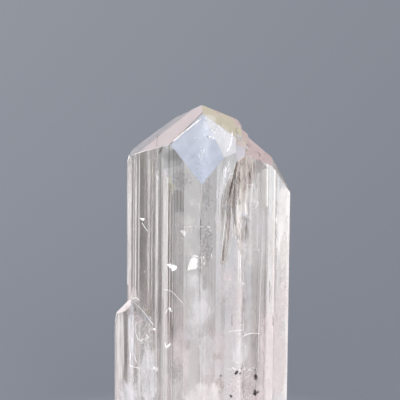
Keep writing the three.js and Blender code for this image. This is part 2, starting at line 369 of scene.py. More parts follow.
def upright_lean():
    """How far the crystal's upright edges lean to the right in the photograph, by how far they run down."""
    (high_x, high_y), (low_x, low_y) = (seen_at(end) for end in FRONT_EDGE)
    return (low_x - high_x) / (low_y - high_y)


def true_normal(tree):
    """The way a face points, the same from inside and outside."""
    shape = node(tree, "ShaderNodeNewGeometry")
    side = between(tree, shape.outputs["Backfacing"], 1.0, -1.0)
    values = {0: shape.outputs["True Normal"], "Scale": side}
    return node(tree, "ShaderNodeVectorMath", values, operation="SCALE").outputs[0]


def slope_along(tree, axis):
    """How much a face points along an axis, from -1 to 1."""
    return node(tree, "ShaderNodeSeparateXYZ", {0: true_normal(tree)}).outputs[axis]


def facing(tree, way, least=0.985):
    """1 on the faces that point towards way, 0 on the others."""
    values = {0: true_normal(tree), 1: Vector(way).normalized()}
    along = node(tree, "ShaderNodeVectorMath", values, operation="DOT_PRODUCT").outputs["Value"]
    return ranged(tree, along, least, least + 0.01)


def near(tree, place, reach):
    """1 at a place on the crystal, with a ragged fade to 0 at its reach, both in metres."""
    ragged = 0.35
    fades_from = 0.45
    own = node(tree, "ShaderNodeTexCoord").outputs["Object"]
    from_place = node(tree, "ShaderNodeVectorMath", {0: own, 1: place}, operation="SUBTRACT").outputs[0]
    in_reach = node(tree, "ShaderNodeVectorMath", {0: from_place, 1: reach}, operation="DIVIDE").outputs[0]
    away = node(tree, "ShaderNodeVectorMath", {0: in_reach}, operation="LENGTH").outputs["Value"]
    grain = ranged(tree, noise_pattern(tree, 900.0, 4.0), 0.3, 0.7, -ragged, ragged)
    return ranged(tree, maths(tree, "ADD", away, grain), 1.0, fades_from, smooth=True)


# Which way the roof's faces point
LOZENGE_WAY = (0, -0.69, 0.72)
BRIGHT_BEVEL_WAY = (0.43, -0.48, 0.77)
LILAC_BEVEL_WAY = (0.23, -0.63, 0.74)
TAN_FACE_WAY = (0.42, 0.0, 0.91)
LEFT_ROOF_WAY = (-0.61, 0.0, 0.79)
RIGHT_ROOF_WAY = (0.62, 0.0, 0.78)

# The yellow stain on the right roof face: its middle in pixels and its reach
YELLOW_STAIN_AT = (222, 122)
YELLOW_STAIN_REACH = (6.2 * MM, 6 * MM, 6 * MM)

# Upright strips of the front darkened with painted shade: their left and right edges in pixels and what
# they let by
MAIN_STRIPS = (
    (131.8, 133.5, 0.62), (135.9, 137.9, 0.42), (139.6, 147.4, 0.42), (149.6, 152.4, 0.62),
    (153.2, 155.2, 0.60), (159.0, 162.0, 0.48), (168.6, 169.8, 0.40), (170.9, 171.8, 0.55),
    (173.0, 175.0, 0.42), (175.4, 184.6, 0.54), (184.6, 201.4, 0.84), (201.4, 217.0, 0.64),
    (222.4, 226.0, 0.75), (252.5, 268.0, 0.84),
)
# Narrow lines of painted shade on the left of the front, given in the same way
LEFT_LINES = (
    (128.9, 129.4, 0.80), (134.1, 134.8, 0.55), (138.5, 139.1, 0.60), (150.7, 151.3, 0.60),
    (156.2, 156.7, 0.72), (160.4, 161.0, 0.62), (165.6, 166.0, 0.80), (168.2, 168.9, 0.55),
    (170.2, 170.8, 0.50), (172.2, 172.8, 0.50), (174.3, 174.8, 0.60), (177.2, 177.7, 0.80),
    (180.6, 181.2, 0.80), (183.6, 184.1, 0.70),
)
# Strips of painted shade on the side crystal, given in the same way
SIDE_STRIPS = (
    (123.6, 128.2, 0.40), (136.4, 140.4, 0.75), (140.8, 151.0, 0.62),
)


def roof_faces(tree):
    """1 on each face of the roof and 0 elsewhere, by the face's name."""
    roof_from = 50 * MM
    top = ranged(tree, place_along(tree, UPWARDS), roof_from, roof_from + 0.5 * MM)
    like_lozenge = facing(tree, LOZENGE_WAY)
    lozenge = product(tree, like_lozenge, top)
    bright_bevel = facing(tree, BRIGHT_BEVEL_WAY)
    lilac_bevel = facing(tree, LILAC_BEVEL_WAY, 0.992)
    left_roof = facing(tree, LEFT_ROOF_WAY)
    right_roof = product(tree, facing(tree, RIGHT_ROOF_WAY), top)
    stain = near(tree, seen_place(*YELLOW_STAIN_AT), YELLOW_STAIN_REACH)
    bevels = maths(tree, "MAXIMUM", bright_bevel, lilac_bevel)
    return {
        "lozenge": lozenge,
        "low_lozenge": maths(tree, "SUBTRACT", like_lozenge, lozenge),
        "bright_bevel": bright_bevel,
        "lilac_bevel": lilac_bevel,
        "tan_face": facing(tree, TAN_FACE_WAY),
        "left_roof": left_roof,
        "right_roof": right_roof,
        "yellow_stain": product(tree, stain, right_roof),
        "frosted": maths(tree, "MAXIMUM", lozenge, bevels),
        "pink_roof": maths(tree, "MAXIMUM", left_roof, right_roof),
    }


def milkiness(tree):
    """0 where the crystal is clear, near its top, and 1 where it is milky, with clouds between."""
    clear_above, milky_below = 60 * MM, 30 * MM
    ragged = 12 * MM
    clouds = noise_pattern(tree, 130.0, 3.0, (1, 1, 0.6))
    billows = ranged(tree, clouds, 0.3, 0.7, -ragged, ragged)
    height = maths(tree, "ADD", place_along(tree, UPWARDS), billows)
    return ranged(tree, height, clear_above, milky_below, smooth=True)


def milk_paint(tree, milky):
    """Clear above, and below in upright bands of white and pink."""
    clear = (0.96, 0.96, 0.965, 1)
    white = (0.955, 0.945, 0.945, 1)
    pink = (0.96, 0.875, 0.865, 1)
    bands = ranged(tree, noise_pattern(tree, 380.0, 3.0, (1, 1, 0.08)), 0.38, 0.62)
    return colour_between(tree, milky, clear, colour_between(tree, bands, white, pink))


def lozenge_reflection_paint(tree):
    """A painted reflection of the blue overhead light: mottled pale blue, lighter and warmer towards the
    point.
    """
    warms_from, warms_to = 62.5 * MM, 69 * MM
    dimmer = (0.87, 0.87, 0.86, 1)
    warmer = (1.16, 1.08, 1.0, 1)
    mottle = ranged(tree, noise_pattern(tree, 700.0, 4.0), 0.35, 0.65)
    blue = colour_between(tree, mottle, (0.40, 0.465, 0.56, 1), (0.49, 0.555, 0.655, 1))
    upwards = ranged(tree, place_along(tree, UPWARDS), warms_from, warms_to)
    return multiplied(tree, blue, colour_between(tree, upwards, dimmer, warmer))


def roof_paint(tree, faces, paint):
    """A paint for the whole crystal, with the tint of each roof face over it; the lozenge's tint is a
    painted reflection of the blue overhead light.
    """
    backward = ranged(tree, slope_along(tree, BACKWARDS), 0.04, 0.05)
    left_tint = colour_between(tree, backward, (1.0, 0.88, 0.865, 1), (0.97, 0.96, 0.965, 1))
    tints = (
        ("left_roof", left_tint),
        ("low_lozenge", (0.66, 0.55, 0.52, 1)),
        ("right_roof", (0.76, 0.56, 0.54, 1)),
        # Painted reflection of the overhead light
        ("lozenge", lozenge_reflection_paint(tree)),
        ("bright_bevel", (0.64, 0.66, 0.68, 1)),
        ("lilac_bevel", (0.90, 0.86, 0.95, 1)),
        ("tan_face", (0.94, 0.78, 0.66, 1)),
        ("yellow_stain", (0.63, 0.58, 0.38, 1)),
    )
    for face, tint in tints:
        paint = colour_between(tree, faces[face], paint, tint)
    return paint


def painted_shade_tones(tree, strips, across):
    """How much of the light the strips of painted shade let by, where across is a place in pixels from left
    to right.
    """
    whole = (1, 1, 1, 1)
    warmth = (1, 0.975, 0.945)
    first = strips[0][0] - 1
    last = strips[-1][1] + 1
    tones = node(tree, "ShaderNodeValToRGB", {0: ranged(tree, across, first, last)})
    tones.color_ramp.interpolation = "CONSTANT"
    stops = tones.color_ramp.elements
    stops[0].color = whole
    stops[1].color = whole
    for left, right, tone in strips:
        start = stops.new((left - first) / (last - first))
        start.color = (*(tone * part for part in warmth), 1)
        end = stops.new((right - first) / (last - first))
        end.color = whole
    return tones.outputs["Color"]


def painted_strip_shade(tree):
    """Painted shade: what the darker strips let by, on the upright faces of the front."""
    half_width = 15 * MM
    seen_left, seen_right = 101.0, 306.0
    side_crystal_to = 141.0
    side_crystal_top = 41.2 * MM
    high_from, low_from = 38 * MM, 22 * MM
    kept_low_down = 0.45
    height = place_along(tree, UPWARDS)
    across = ranged(tree, place_along(tree, ACROSS), -half_width, half_width, seen_left, seen_right)
    forward = ranged(tree, slope_along(tree, BACKWARDS), -0.25, -0.30)
    upright = ranged(tree, slope_along(tree, UPWARDS), 0.25, 0.20)
    front = product(tree, forward, upright)
    low = ranged(tree, height, high_from, low_from)
    on_main = product(tree, front, between(tree, low, 1.0, kept_low_down))
    beside = ranged(tree, across, side_crystal_to, side_crystal_to - 0.5)
    below = ranged(tree, height, side_crystal_top, side_crystal_top - 0.2 * MM)
    on_side = product(tree, front, beside, below)
    main_strips = painted_shade_tones(tree, MAIN_STRIPS, across)
    strips = multiplied(tree, main_strips, painted_shade_tones(tree, LEFT_LINES, across))
    main_tones = colour_between(tree, on_main, (1, 1, 1, 1), strips)
    return colour_between(tree, on_side, main_tones, painted_shade_tones(tree, SIDE_STRIPS, across))


def share_let_by(tree, faces, milky):
    """How much light goes through: less where it is milky, and less through frosted or tinted faces."""
    share = between(tree, milky, 0.97, 0.64)
    let_by = (("pink_roof", 0.62), ("frosted", 0.66), ("tan_face", 0.70), ("yellow_stain", 0.75))
    for face, part in let_by:
        share = product(tree, share, between(tree, faces[face], 1.0, part))
    return share


def frosting(tree, faces, behind):
    """How rough the crystal is: polished, but frosted on some roof faces and behind."""
    polished = 0.03
    rough = polished
    for where, roughness in ((faces["frosted"], 0.20), (faces["low_lozenge"], 0.5), (behind, 0.22)):
        rough = maths(tree, "MAXIMUM", between(tree, where, polished, roughness), rough)
    return rough


def evened_normal(tree, behind):
    """The way a face points, but seen from inside the striated back sides look evener than they are."""
    back_left = Vector((-0.664, 0.748, 0))
    back_right = Vector((0.673, 0.740, 0))
    back_edge = 0.125 * MM
    round_edge = 1.2 * MM
    evened_to, evened_from = 6.4 * MM, 5.4 * MM
    evenness = 0.8
    shape = node(tree, "ShaderNodeNewGeometry")
    across = place_along(tree, ACROSS)
    right = ranged(tree, across, back_edge - round_edge, back_edge + round_edge)
    sides = {0: right, 4: -back_left, 5: -back_right}
    even = node(tree, "ShaderNodeMix", sides, data_type="VECTOR").outputs[1]
    middle = ranged(tree, maths(tree, "ABSOLUTE", across), evened_to, evened_from)
    share = product(tree, middle, shape.outputs["Backfacing"], behind, evenness)
    values = {0: share, 4: shape.outputs["Normal"], 5: even}
    mixed = node(tree, "ShaderNodeMix", values, data_type="VECTOR").outputs[1]
    return node(tree, "ShaderNodeVectorMath", {0: mixed}, operation="NORMALIZE").outputs[0]


def etched_relief(tree, behind):
    """Fine etching that runs along the striations."""
    etching = noise_pattern(tree, 1500.0, 3.0, (1, 1, 0.12))
    even = evened_normal(tree, behind)
    values = {"Height": etching, "Strength": 0.25, "Distance": 0.02 * MM, "Normal": even}
    return node(tree, "ShaderNodeBump", values).outputs[0]


def glass_material():
    material, tree, surface = new_material("clear_crystal")
    faces = roof_faces(tree)
    milky = milkiness(tree)
    behind = ranged(tree, slope_along(tree, BACKWARDS), 0.1, 0.2)
    paint = roof_paint(tree, faces, milk_paint(tree, milky))
    # The base colour carries the painted shade of the strips.
    tree.links.new(multiplied(tree, paint, painted_strip_shade(tree)), surface.inputs["Base Color"])
    tree.links.new(share_let_by(tree, faces, milky), surface.inputs["Transmission Weight"])
    tree.links.new(frosting(tree, faces, behind), surface.inputs["Roughness"])
    tree.links.new(etched_relief(tree, behind), surface.inputs["Normal"])
    surface.inputs["IOR"].default_value = DANBURITE_INDEX
    body = tree.nodes.new("ShaderNodeVolumeAbsorption")
    body.inputs["Color"].default_value = (0.98, 0.80, 0.82, 1)
    body.inputs["Density"].default_value = 3.5
    tree.links.new(body.outputs["Volume"], tree.nodes["Material Output"].inputs["Volume"])
    return material


def make_crystal():
    shape = crystal_solid()
    mesh = bpy.data.meshes.new("clear_crystal_body")
    shape.to_mesh(mesh)
    shape.free()
    body = placed_object("clear_crystal_body", mesh)
    body.data.materials.append(glass_material())
    ride_along(body)
    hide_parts("danburite_crystal")


# Lines, threads and flakes


def line_length(corners):
    return sum((Vector(b) - Vector(a)).length for a, b in zip(corners, corners[1:]))


def on_line(corners, share):
    """The point at a share of the way along a line of pixels."""
    points = [Vector(corner) for corner in corners]
    lengths = [(b - a).length for a, b in zip(points, points[1:])]
    left = share * sum(lengths)
    part = 0
    while part < len(lengths) - 1 and left > lengths[part]:
        left -= lengths[part]
        part += 1
    return points[part].lerp(points[part + 1], min(1, left / lengths[part]))


def along_path(corners, step=0.8):
    """Points a step apart along a line of pixels, each with its share of the way."""
    count = max(2, round(line_length(corners) / step))
    for k in range(count + 1):
        yield on_line(corners, k / count), k / count


def ring_round(shape, middle, way, radius, sides):
    side = way.orthogonal().normalized()
    other = way.cross(side).normalized()
    turns = (math.tau * k / sides for k in range(sides))
    return [shape.verts.new(middle + (side * math.cos(t) + other * math.sin(t)) * radius) for t in turns]


def add_tube(shape, places, radii, sides=5):
    """A closed thread through places."""
    rings = []
    for k, (place, radius) in enumerate(zip(places, radii)):
        way = places[min(k + 1, len(places) - 1)] - places[max(k - 1, 0)]
        rings.append(ring_round(shape, place, way.normalized(), radius, sides))
    for one, two in zip(rings, rings[1:]):
        for k in range(sides):
            n = (k + 1) % sides
            shape.faces.new((one[k], one[n], two[n], two[k]))
    shape.faces.new(rings[0][::-1])
    shape.faces.new(rings[-1])


def add_flake(shape, outline, deep, thick, chance):
    """A thin crumpled plate in the crystal, or standing out of it, that shows as an outline of pixels."""
    crumpled = 0.35
    middle = sum((Vector(corner) for corner in outline), Vector((0, 0))) / len(outline)
    fronts, backs = [], []
    for corner in list(outline) + [middle]:
        crumple = chance.uniform(-crumpled, crumpled) * thick
        place = seen_place(*corner, deep + crumple)
        fronts.append(shape.verts.new(place))
        backs.append(shape.verts.new(place + AHEAD * thick))
    count = len(outline)
    for k in range(count):
        n = (k + 1) % count
        shape.faces.new((fronts[k], fronts[n], fronts[count]))
        shape.faces.new((backs[n], backs[k], backs[count]))
        shape.faces.new((fronts[n], fronts[k], backs[k], backs[n]))


def make_piece(name, build, material):
    """A piece of the crystal: one mesh with its faces outwards, which rides with it."""
    piece = plain_mesh_object(name, build)
    shape = bmesh.new()
    shape.from_mesh(piece.data)
    bmesh.ops.recalc_face_normals(shape, faces=shape.faces)
    shape.to_mesh(piece.data)
    shape.free()
    piece.data.materials.append(material)
    ride_along(piece)


# Cracks, threads and grains. Places are in pixels of the photograph and thicknesses in mm. A depth is how
# far under the surface something lies in mm, and it stands a little proud where the depth is less than 0.

# Flat white cracks that flash bright with a painted glow: their outline and depth
FLASHES = (
    (((187.3, 270.7), (188.7, 265.3), (190.0, 260.7), (192.0, 257.8), (194.7, 257.2), (197.4, 258.8),
     (198.4, 261.5), (196.6, 264.0), (197.8, 267.0), (195.4, 269.0), (192.0, 269.3)), 0.6),
    (((191.6, 256.4), (194.6, 254.8), (198.8, 256.4), (199.2, 257.8), (195.0, 256.4)), 0.4),
    (((202.6, 255.4), (203.8, 256.0), (204.2, 259.6), (203.2, 259.2)), 0.2),
    (((210.9, 253.8), (211.9, 254.2), (211.9, 258.6), (211.1, 258.0)), 0.2),
    (((207.4, 226.0), (209.8, 226.2), (209.4, 228.2), (207.8, 228.0)), 0.15),
    (((203.6, 261.6), (204.8, 262.4), (204.4, 265.6), (203.4, 264.6)), 0.2),
    (((166.7, 264.3), (170.7, 263.7), (177.0, 266.3), (176.3, 269.3), (172.3, 271.0), (170.7, 268.0)),
     -0.08),
    (((180.0, 231.3), (181.3, 230.0), (184.7, 230.7), (186.0, 233.3), (184.7, 236.7), (183.0, 234.0)), 0.6),
    (((139.7, 218.0), (145.0, 218.4), (143.4, 220.8), (141.4, 219.6)), -0.08),
    (((168.7, 307.7), (170.0, 307.5), (172.4, 311.0), (171.4, 312.0)), -0.08),
    (((166.6, 346.4), (168.6, 344.6), (170.9, 343.0), (169.6, 345.6), (167.4, 347.6)), -0.08),
    (((152.3, 367.7), (157.7, 367.9), (157.6, 371.0), (154.0, 370.8)), 0.3),
    (((153.3, 328.3), (155.7, 328.5), (155.4, 330.2), (153.6, 330.0)), -0.08),
    (((146.3, 336.0), (148.2, 336.6), (149.0, 338.3), (147.0, 337.8)), 0.3),
)

# Fine white threads: their line, how thick they are at each end, and their depth
THREADS = (
    (((142.0, 222.7), (144.7, 227.3), (148.0, 231.3)), (0.05, 0.03), -0.03),
    (((133.3, 230.7), (136.7, 227.3)), (0.05, 0.03), 0.3),
    (((169.3, 289.8), (174.0, 293.3), (179.3, 299.3), (183.3, 303.3)), (0.035, 0.02), -0.02),
    (((187.3, 273.3), (193.3, 279.3)), (0.04, 0.02), 0.5),
    (((135.7, 333.3), (138.0, 339.3), (140.7, 340.7)), (0.04, 0.07), 0.02),
    (((134.3, 352.7), (135.3, 359.3), (137.3, 363.3)), (0.04, 0.06), 0.02),
    (((129.7, 364.7), (131.3, 366.3), (137.3, 367.7), (141.3, 368.7)), (0.07, 0.05), 0.02),
    (((157.3, 349.4), (166.0, 348.7)), (0.017, 0.028), 0.03),
    (((180.7, 359.3), (180.3, 366.7)), (0.033, 0.017), 0.03),
    (((182.7, 362.0), (184.3, 369.3)), (0.039, 0.017), 0.03),
    (((228.0, 332.0), (233.3, 330.7), (242.0, 330.0)), (0.04, 0.07), 0.03),
    (((242.7, 336.7), (246.7, 334.3), (252.7, 333.0), (260.0, 333.7)), (0.10, 0.05), 0.03),
    (((244.0, 301.3), (243.0, 332.0)), (0.017, 0.05), 0.03),
    (((261.7, 252.0), (260.4, 290.0), (258.7, 333.3), (258.3, 362.0)), (0.05, 0.07), 0.05),
    (((270.7, 204.0), (270.2, 252.0)), (0.1, 0.09), 0.3),
    (((257.8, 200.6), (257.2, 204.6), (255.6, 207.6), (253.0, 209.2)), (0.1, 0.06), 0.15),
    (((181.6, 238.0), (178.8, 243.0), (177.4, 251.0), (178.0, 262.0)), (0.05, 0.03), 0.3),
    (((181.6, 238.0), (186.0, 240.6), (189.4, 247.0), (190.2, 254.0)), (0.06, 0.03), 0.3),
    (((165.6, 313.6), (167.4, 309.6), (169.4, 308.2)), (0.03, 0.04), -0.02),
    (((170.2, 308.4), (177.0, 306.6), (183.0, 306.0)), (0.022, 0.011), 0.03),
    (((169.6, 291.0), (165.4, 289.4), (163.6, 289.8)), (0.04, 0.03), -0.02),
    (((140.0, 296.6), (143.4, 300.2), (141.0, 306.0)), (0.022, 0.017), 0.03),
    (((135.6, 300.0), (139.0, 305.4), (136.8, 312.0)), (0.022, 0.011), 0.03),
    (((124.0, 343.4), (127.8, 339.8)), (0.022, 0.017), 0.03),
    (((138.0, 372.0), (134.4, 379.0), (132.6, 386.0)), (0.017, 0.028), 0.03),
    (((145.6, 333.0), (149.4, 340.0)), (0.017, 0.028), 0.03),
    (((139.4, 318.0), (143.0, 324.4), (147.6, 327.0)), (0.017, 0.017), 0.03),
    (((283.4, 313.0), (276.0, 316.4), (272.0, 322.0)), (0.028, 0.017), 0.03),
    (((224.8, 176.6), (223.4, 184.0), (222.2, 193.0)), (0.07, 0.03), 0.2),
    (((227.6, 166.0), (225.2, 173.6)), (0.06, 0.05), 0.2),
    (((231.4, 170.0), (228.6, 176.4)), (0.05, 0.04), 0.2),
    (((244.6, 185.0), (244.8, 203.0)), (0.05, 0.07), 0.2),
    (((250.0, 183.0), (251.2, 196.0), (250.6, 204.0)), (0.05, 0.06), 0.2),
    (((237.0, 186.0), (237.2, 203.0)), (0.05, 0.04), 0.2),
    (((216.4, 190.0), (215.8, 222.0)), (0.04, 0.03), 0.2),
    (((219.6, 186.0), (219.0, 214.0)), (0.05, 0.03), 0.2),
    (((130.4, 300.6), (134.6, 303.2), (141.4, 309.4), (153.5, 325.2)), (0.02, 0.05), -0.01),
    # A painted highlight along an edge of the roof
    (((132.0, 155.4), (138.2, 152.8), (158.0, 147.4), (169.6, 144.4)), (0.04, 0.04), 0.01),
    (((165.0, 342.4), (165.8, 346.6), (166.6, 349.0)), (0.06, 0.05), -0.03),
    (((132.6, 298.6), (136.0, 297.6), (139.4, 300.4)), (0.04, 0.05), -0.02),
    (((130.6, 353.0), (130.2, 361.0)), (0.05, 0.03), -0.02),
    (((136.4, 321.0), (135.0, 328.0), (135.8, 333.0)), (0.03, 0.04), -0.02),
    (((141.0, 340.6), (143.8, 338.6)), (0.05, 0.03), -0.02),
    (((146.0, 333.6), (147.6, 336.6), (149.4, 338.0)), (0.05, 0.06), -0.02),
    # Painted glints of small pits on the lozenge face
    (((200.4, 149.4), (202.0, 151.6), (203.0, 154.0)), (0.015, 0.03), 0.01),
    (((204.2, 148.6), (203.6, 151.4), (204.0, 154.4)), (0.03, 0.015), 0.01),
    (((198.4, 153.0), (199.6, 156.0), (199.4, 158.6)), (0.02, 0.015), 0.01),
    (((229.4, 160.0), (228.2, 165.0), (226.4, 169.6)), (0.05, 0.03), 0.1),
    (((225.8, 168.0), (224.2, 174.0), (223.8, 180.0)), (0.06, 0.04), 0.1),
    (((232.4, 173.0), (229.8, 177.2)), (0.05, 0.03), 0.1),
)

# Dots along one healed crack: their place and radius
SPARKS = (
    (184.5, 227.3, 0.07), (187.0, 226.9, 0.06), (190.2, 226.5, 0.09), (192.4, 226.4, 0.06),
    (195.4, 226.4, 0.10), (198.0, 226.5, 0.06), (201.0, 226.8, 0.11), (203.0, 227.0, 0.06),
    (208.6, 227.2, 0.15), (210.3, 230.4, 0.11), (209.0, 233.8, 0.12), (206.0, 244.5, 0.08),
    (205.0, 249.0, 0.09), (203.2, 257.0, 0.11), (211.4, 256.0, 0.12), (226.2, 288.6, 0.10),
    (144.6, 271.8, 0.09), (175.0, 380.8, 0.11), (187.6, 375.2, 0.10), (131.6, 332.0, 0.09),
)

# Painted glints: pale flecks for the glints of tiny pits on the lozenge face and the bevel beside it, with
# their place and size
PAINTED_GLINT_FLECKS = (
    (194.8, 137.8, 0.09), (209.4, 137.0, 0.12), (211.0, 136.4, 0.09), (213.4, 137.8, 0.10),
    (204.6, 135.0, 0.05), (206.4, 129.0, 0.06), (212.0, 130.6, 0.08), (214.6, 132.4, 0.07),
    (208.0, 126.6, 0.05), (216.4, 128.8, 0.06), (219.0, 126.4, 0.07), (221.6, 129.8, 0.06),
    (205.6, 141.0, 0.04), (200.8, 147.4, 0.05), (206.2, 156.0, 0.05), (197.4, 155.4, 0.04),
    (213.0, 124.4, 0.06), (224.6, 133.0, 0.07), (210.4, 162.0, 0.04), (204.0, 171.0, 0.05),
)

# Outlines of the dark grains near the foot of the picture
DARK_GRAINS = (
    ((234.3, 373.6), (236.4, 370.4), (238.2, 370.5), (237.4, 372.8), (235.4, 375.0)),
    ((239.0, 372.8), (240.2, 372.6), (240.6, 373.8), (239.4, 374.2)),
    ((253.6, 376.0), (254.6, 373.4), (256.6, 375.4), (257.2, 378.6), (255.8, 380.2), (254.4, 378.4)),
    ((252.6, 394.0), (253.8, 390.6), (254.8, 388.6), (256.2, 391.0), (259.4, 391.6), (256.4, 393.4),
     (255.4, 396.4)),
    ((229.2, 395.4), (230.8, 394.6), (232.2, 396.4), (230.8, 397.6)),
    ((254.2, 369.0), (255.2, 368.6), (255.8, 370.2), (254.8, 370.4)),
    ((240.4, 368.2), (241.4, 368.0), (241.2, 369.0)),
    ((219.4, 375.0), (221.4, 375.2), (220.6, 376.6)),
)


def white_crack_with_painted_glow(name, glow):
    material, tree, surface = new_material(name)
    grain = ranged(tree, noise_pattern(tree, 2600.0, 3.0), 0.35, 0.6)
    paint = colour_between(tree, grain, (0.90, 0.90, 0.91, 1), (1.0, 0.99, 0.98, 1))
    tree.links.new(paint, surface.inputs["Base Color"])
    surface.inputs["Roughness"].default_value = 0.3
    # Painted glow, which makes the cracks shine brighter than the lamps light them
    surface.inputs["Emission Color"].default_value = (0.95, 0.98, 1.0, 1)
    surface.inputs["Emission Strength"].default_value = glow
    return material


def make_white_cracks():
    chance = random.Random(11)
    # The flat cracks and sparks glow strongly with painted light, the threads and flecks faintly
    white = white_crack_with_painted_glow("white_crack", 0.6)
    fine = white_crack_with_painted_glow("fine_white_crack", 0.15)

    def flakes(shape):
        thick = 0.12 * MM
        for outline, deep in FLASHES:
            add_flake(shape, outline, deep * MM, thick, chance)

    def threads(shape):
        pointed = 0.3
        for corners, (first, last), deep in THREADS:
            steps = list(along_path(corners))
            places = [seen_place(*point, deep * MM) for point, _ in steps]
            radii = [(first + (last - first) * share) * MM for _, share in steps]
            radii[0] *= pointed
            radii[-1] *= pointed
            add_tube(shape, places, radii)

    def sparks(shape):
        deep = 0.15 * MM
        uneven = 0.3
        for x, y, size in SPARKS:
            place = Matrix.Translation(seen_place(x, y, deep))
            dot = bmesh.ops.create_icosphere(shape, subdivisions=1, radius=size * MM, matrix=place)
            for vert in dot["verts"]:
                vert.co += Vector([chance.uniform(-uneven, uneven) * size * MM for _ in range(3)])

    def paint_glint_flecks(shape):
        deep = -0.01 * MM
        thick = 0.04 * MM
        pixels = 5
        turns = (5.2, 3.9, 2.6, 1.3, 0.4)
        for x, y, size in PAINTED_GLINT_FLECKS:
            across = size * pixels
            outline = [(x + across * math.cos(t), y + across * math.sin(t)) for t in turns]
            add_flake(shape, outline, deep, thick, chance)

    make_piece("painted_glint_flecks", paint_glint_flecks, fine)
    make_piece("white_flat_cracks", flakes, white)
    make_piece("white_threads", threads, fine)
    make_piece("white_sparks", sparks, white)


def make_dark_grains():
    deep = -0.12 * MM
    thick = 0.35 * MM
    chance = random.Random(23)
    material, tree, surface = new_material("dark_grain")
    grain = ranged(tree, noise_pattern(tree, 3000.0, 3.0), 0.4, 0.65)
    paint = colour_between(tree, grain, (0.006, 0.005, 0.005, 1), (0.055, 0.045, 0.038, 1))
    tree.links.new(paint, surface.inputs["Base Color"])
    surface.inputs["Roughness"].default_value = 0.45

    def grains(shape):
        for outline in DARK_GRAINS:
            add_flake(shape, outline, deep, thick, chance)

    make_piece("dark_grains", grains, material)


# Crumbs

# Ovals with many crumbs: the piece's name, the oval's middle and half sizes in pixels, the material, how
# many crumbs there are on a square millimetre, their least and greatest radius in mm, their least and
# greatest depth in mm, and a seed
# Crumbs in the white crack materials glow with painted light.
CRUMB_OVALS = (
    ("sugary_grains", (239, 389, 20, 21), "fine_white_crack", 5.0, (0.02, 0.06), (0.0, 0.06), 4),
    ("brown_grains", (238, 387, 20, 18), "dark_grain", 1.6, (0.02, 0.05), (0.0, 0.05), 5),
    ("crack_sparkles", (206, 246, 6, 20), "white_crack", 7.0, (0.02, 0.07), (0.0, 0.3), 6),
    ("side_sparkles", (145, 328, 9, 26), "fine_white_crack", 3.0, (0.02, 0.06), (0.0, 0.2), 7),
    ("brown_speckles", (220, 357, 7, 6), "dark_grain", 3.0, (0.02, 0.045), (0.0, 0.05), 8),
    ("side_specks", (282, 270, 6, 80), "dark_grain", 0.8, (0.04, 0.08), (0.0, 0.02), 12),
    ("roof_specks", (201, 145, 20, 32), "dark_grain", 0.15, (0.02, 0.04), (0.0, 0.03), 13),
    ("bevel_specks", (225, 118, 15, 9), "dark_grain", 0.8, (0.04, 0.08), (0.0, 0.02), 14),
    ("right_roof_specks", (258, 153, 13, 13), "dark_grain", 0.8, (0.04, 0.08), (0.0, 0.02), 15),
    ("channel_sparkles", (243, 190, 8, 30), "fine_white_crack", 1.2, (0.015, 0.04), (0.0, 0.3), 9),
    ("ledge_sparkles", (242, 369, 16, 2.4), "white_crack", 16.0, (0.03, 0.07), (0.0, 0.03), 10),
)


def crumb_tree():
    """Scatters angular crumbs over a surface and sinks them under it."""
    tree = bpy.data.node_groups.new("crumbs", "GeometryNodeTree")
    sockets = (
        ("Surface", "Geometry"),
        ("How many per square metre", "Float"),
        ("Smallest", "Float"),
        ("Largest", "Float"),
        ("Shallowest", "Float"),
        ("Deepest", "Float"),
        ("Seed", "Int"),
        ("Material", "Material"),
    )
    for name, kind in sockets:
        tree.interface.new_socket(name, in_out="INPUT", socket_type="NodeSocket" + kind)
    tree.interface.new_socket("Crumbs", in_out="OUTPUT", socket_type="NodeSocketGeometry")
    given = tree.nodes.new("NodeGroupInput").outputs
    density = given["How many per square metre"]
    values = {"Mesh": given["Surface"], "Density": density, "Seed": given["Seed"]}
    spots = node(tree, "GeometryNodeDistributePointsOnFaces", values)

    def chance(low, high, kind, seed):
        """A random number or vector for each crumb."""
        first, second, result = (0, 1, 0) if kind == "FLOAT_VECTOR" else (2, 3, 1)
        number = node(tree, "FunctionNodeInputInt", integer=seed).outputs[0]
        values = {first: low, second: high, "Seed": number}
        return node(tree, "FunctionNodeRandomValue", values, data_type=kind).outputs[result]

    depth = maths(tree, "MULTIPLY", chance(given["Shallowest"], given["Deepest"], "FLOAT", 5), -1.0)
    values = {0: spots.outputs["Normal"], "Scale": depth}
    offset = node(tree, "ShaderNodeVectorMath", values, operation="SCALE").outputs[0]
    sunk = node(tree, "GeometryNodeSetPosition", {"Geometry": spots.outputs["Points"], "Offset": offset})
    crumb = node(tree, "GeometryNodeMeshIcoSphere", {"Radius": 1.0, "Subdivisions": 1})
    flattened = chance((0.45, 0.45, 0.45), (1.0, 1.0, 1.0), "FLOAT_VECTOR", 7)
    size = chance(given["Smallest"], given["Largest"], "FLOAT", 9)
    scale = node(tree, "ShaderNodeVectorMath", {0: flattened, "Scale": size}, operation="SCALE").outputs[0]
    turned = chance((0, 0, 0), (math.tau, math.tau, math.tau), "FLOAT_VECTOR", 11)
    values = {"Points": sunk.outputs[0], "Instance": crumb.outputs[0], "Rotation": turned, "Scale": scale}
    laid = node(tree, "GeometryNodeInstanceOnPoints", values)
    whole = node(tree, "GeometryNodeRealizeInstances", {"Geometry": laid.outputs[0]})
    values = {"Geometry": whole.outputs[0], "Material": given["Material"]}
    painted = node(tree, "GeometryNodeSetMaterial", values)
    tree.links.new(painted.outputs[0], tree.nodes.new("NodeGroupOutput").inputs[0])
    return tree


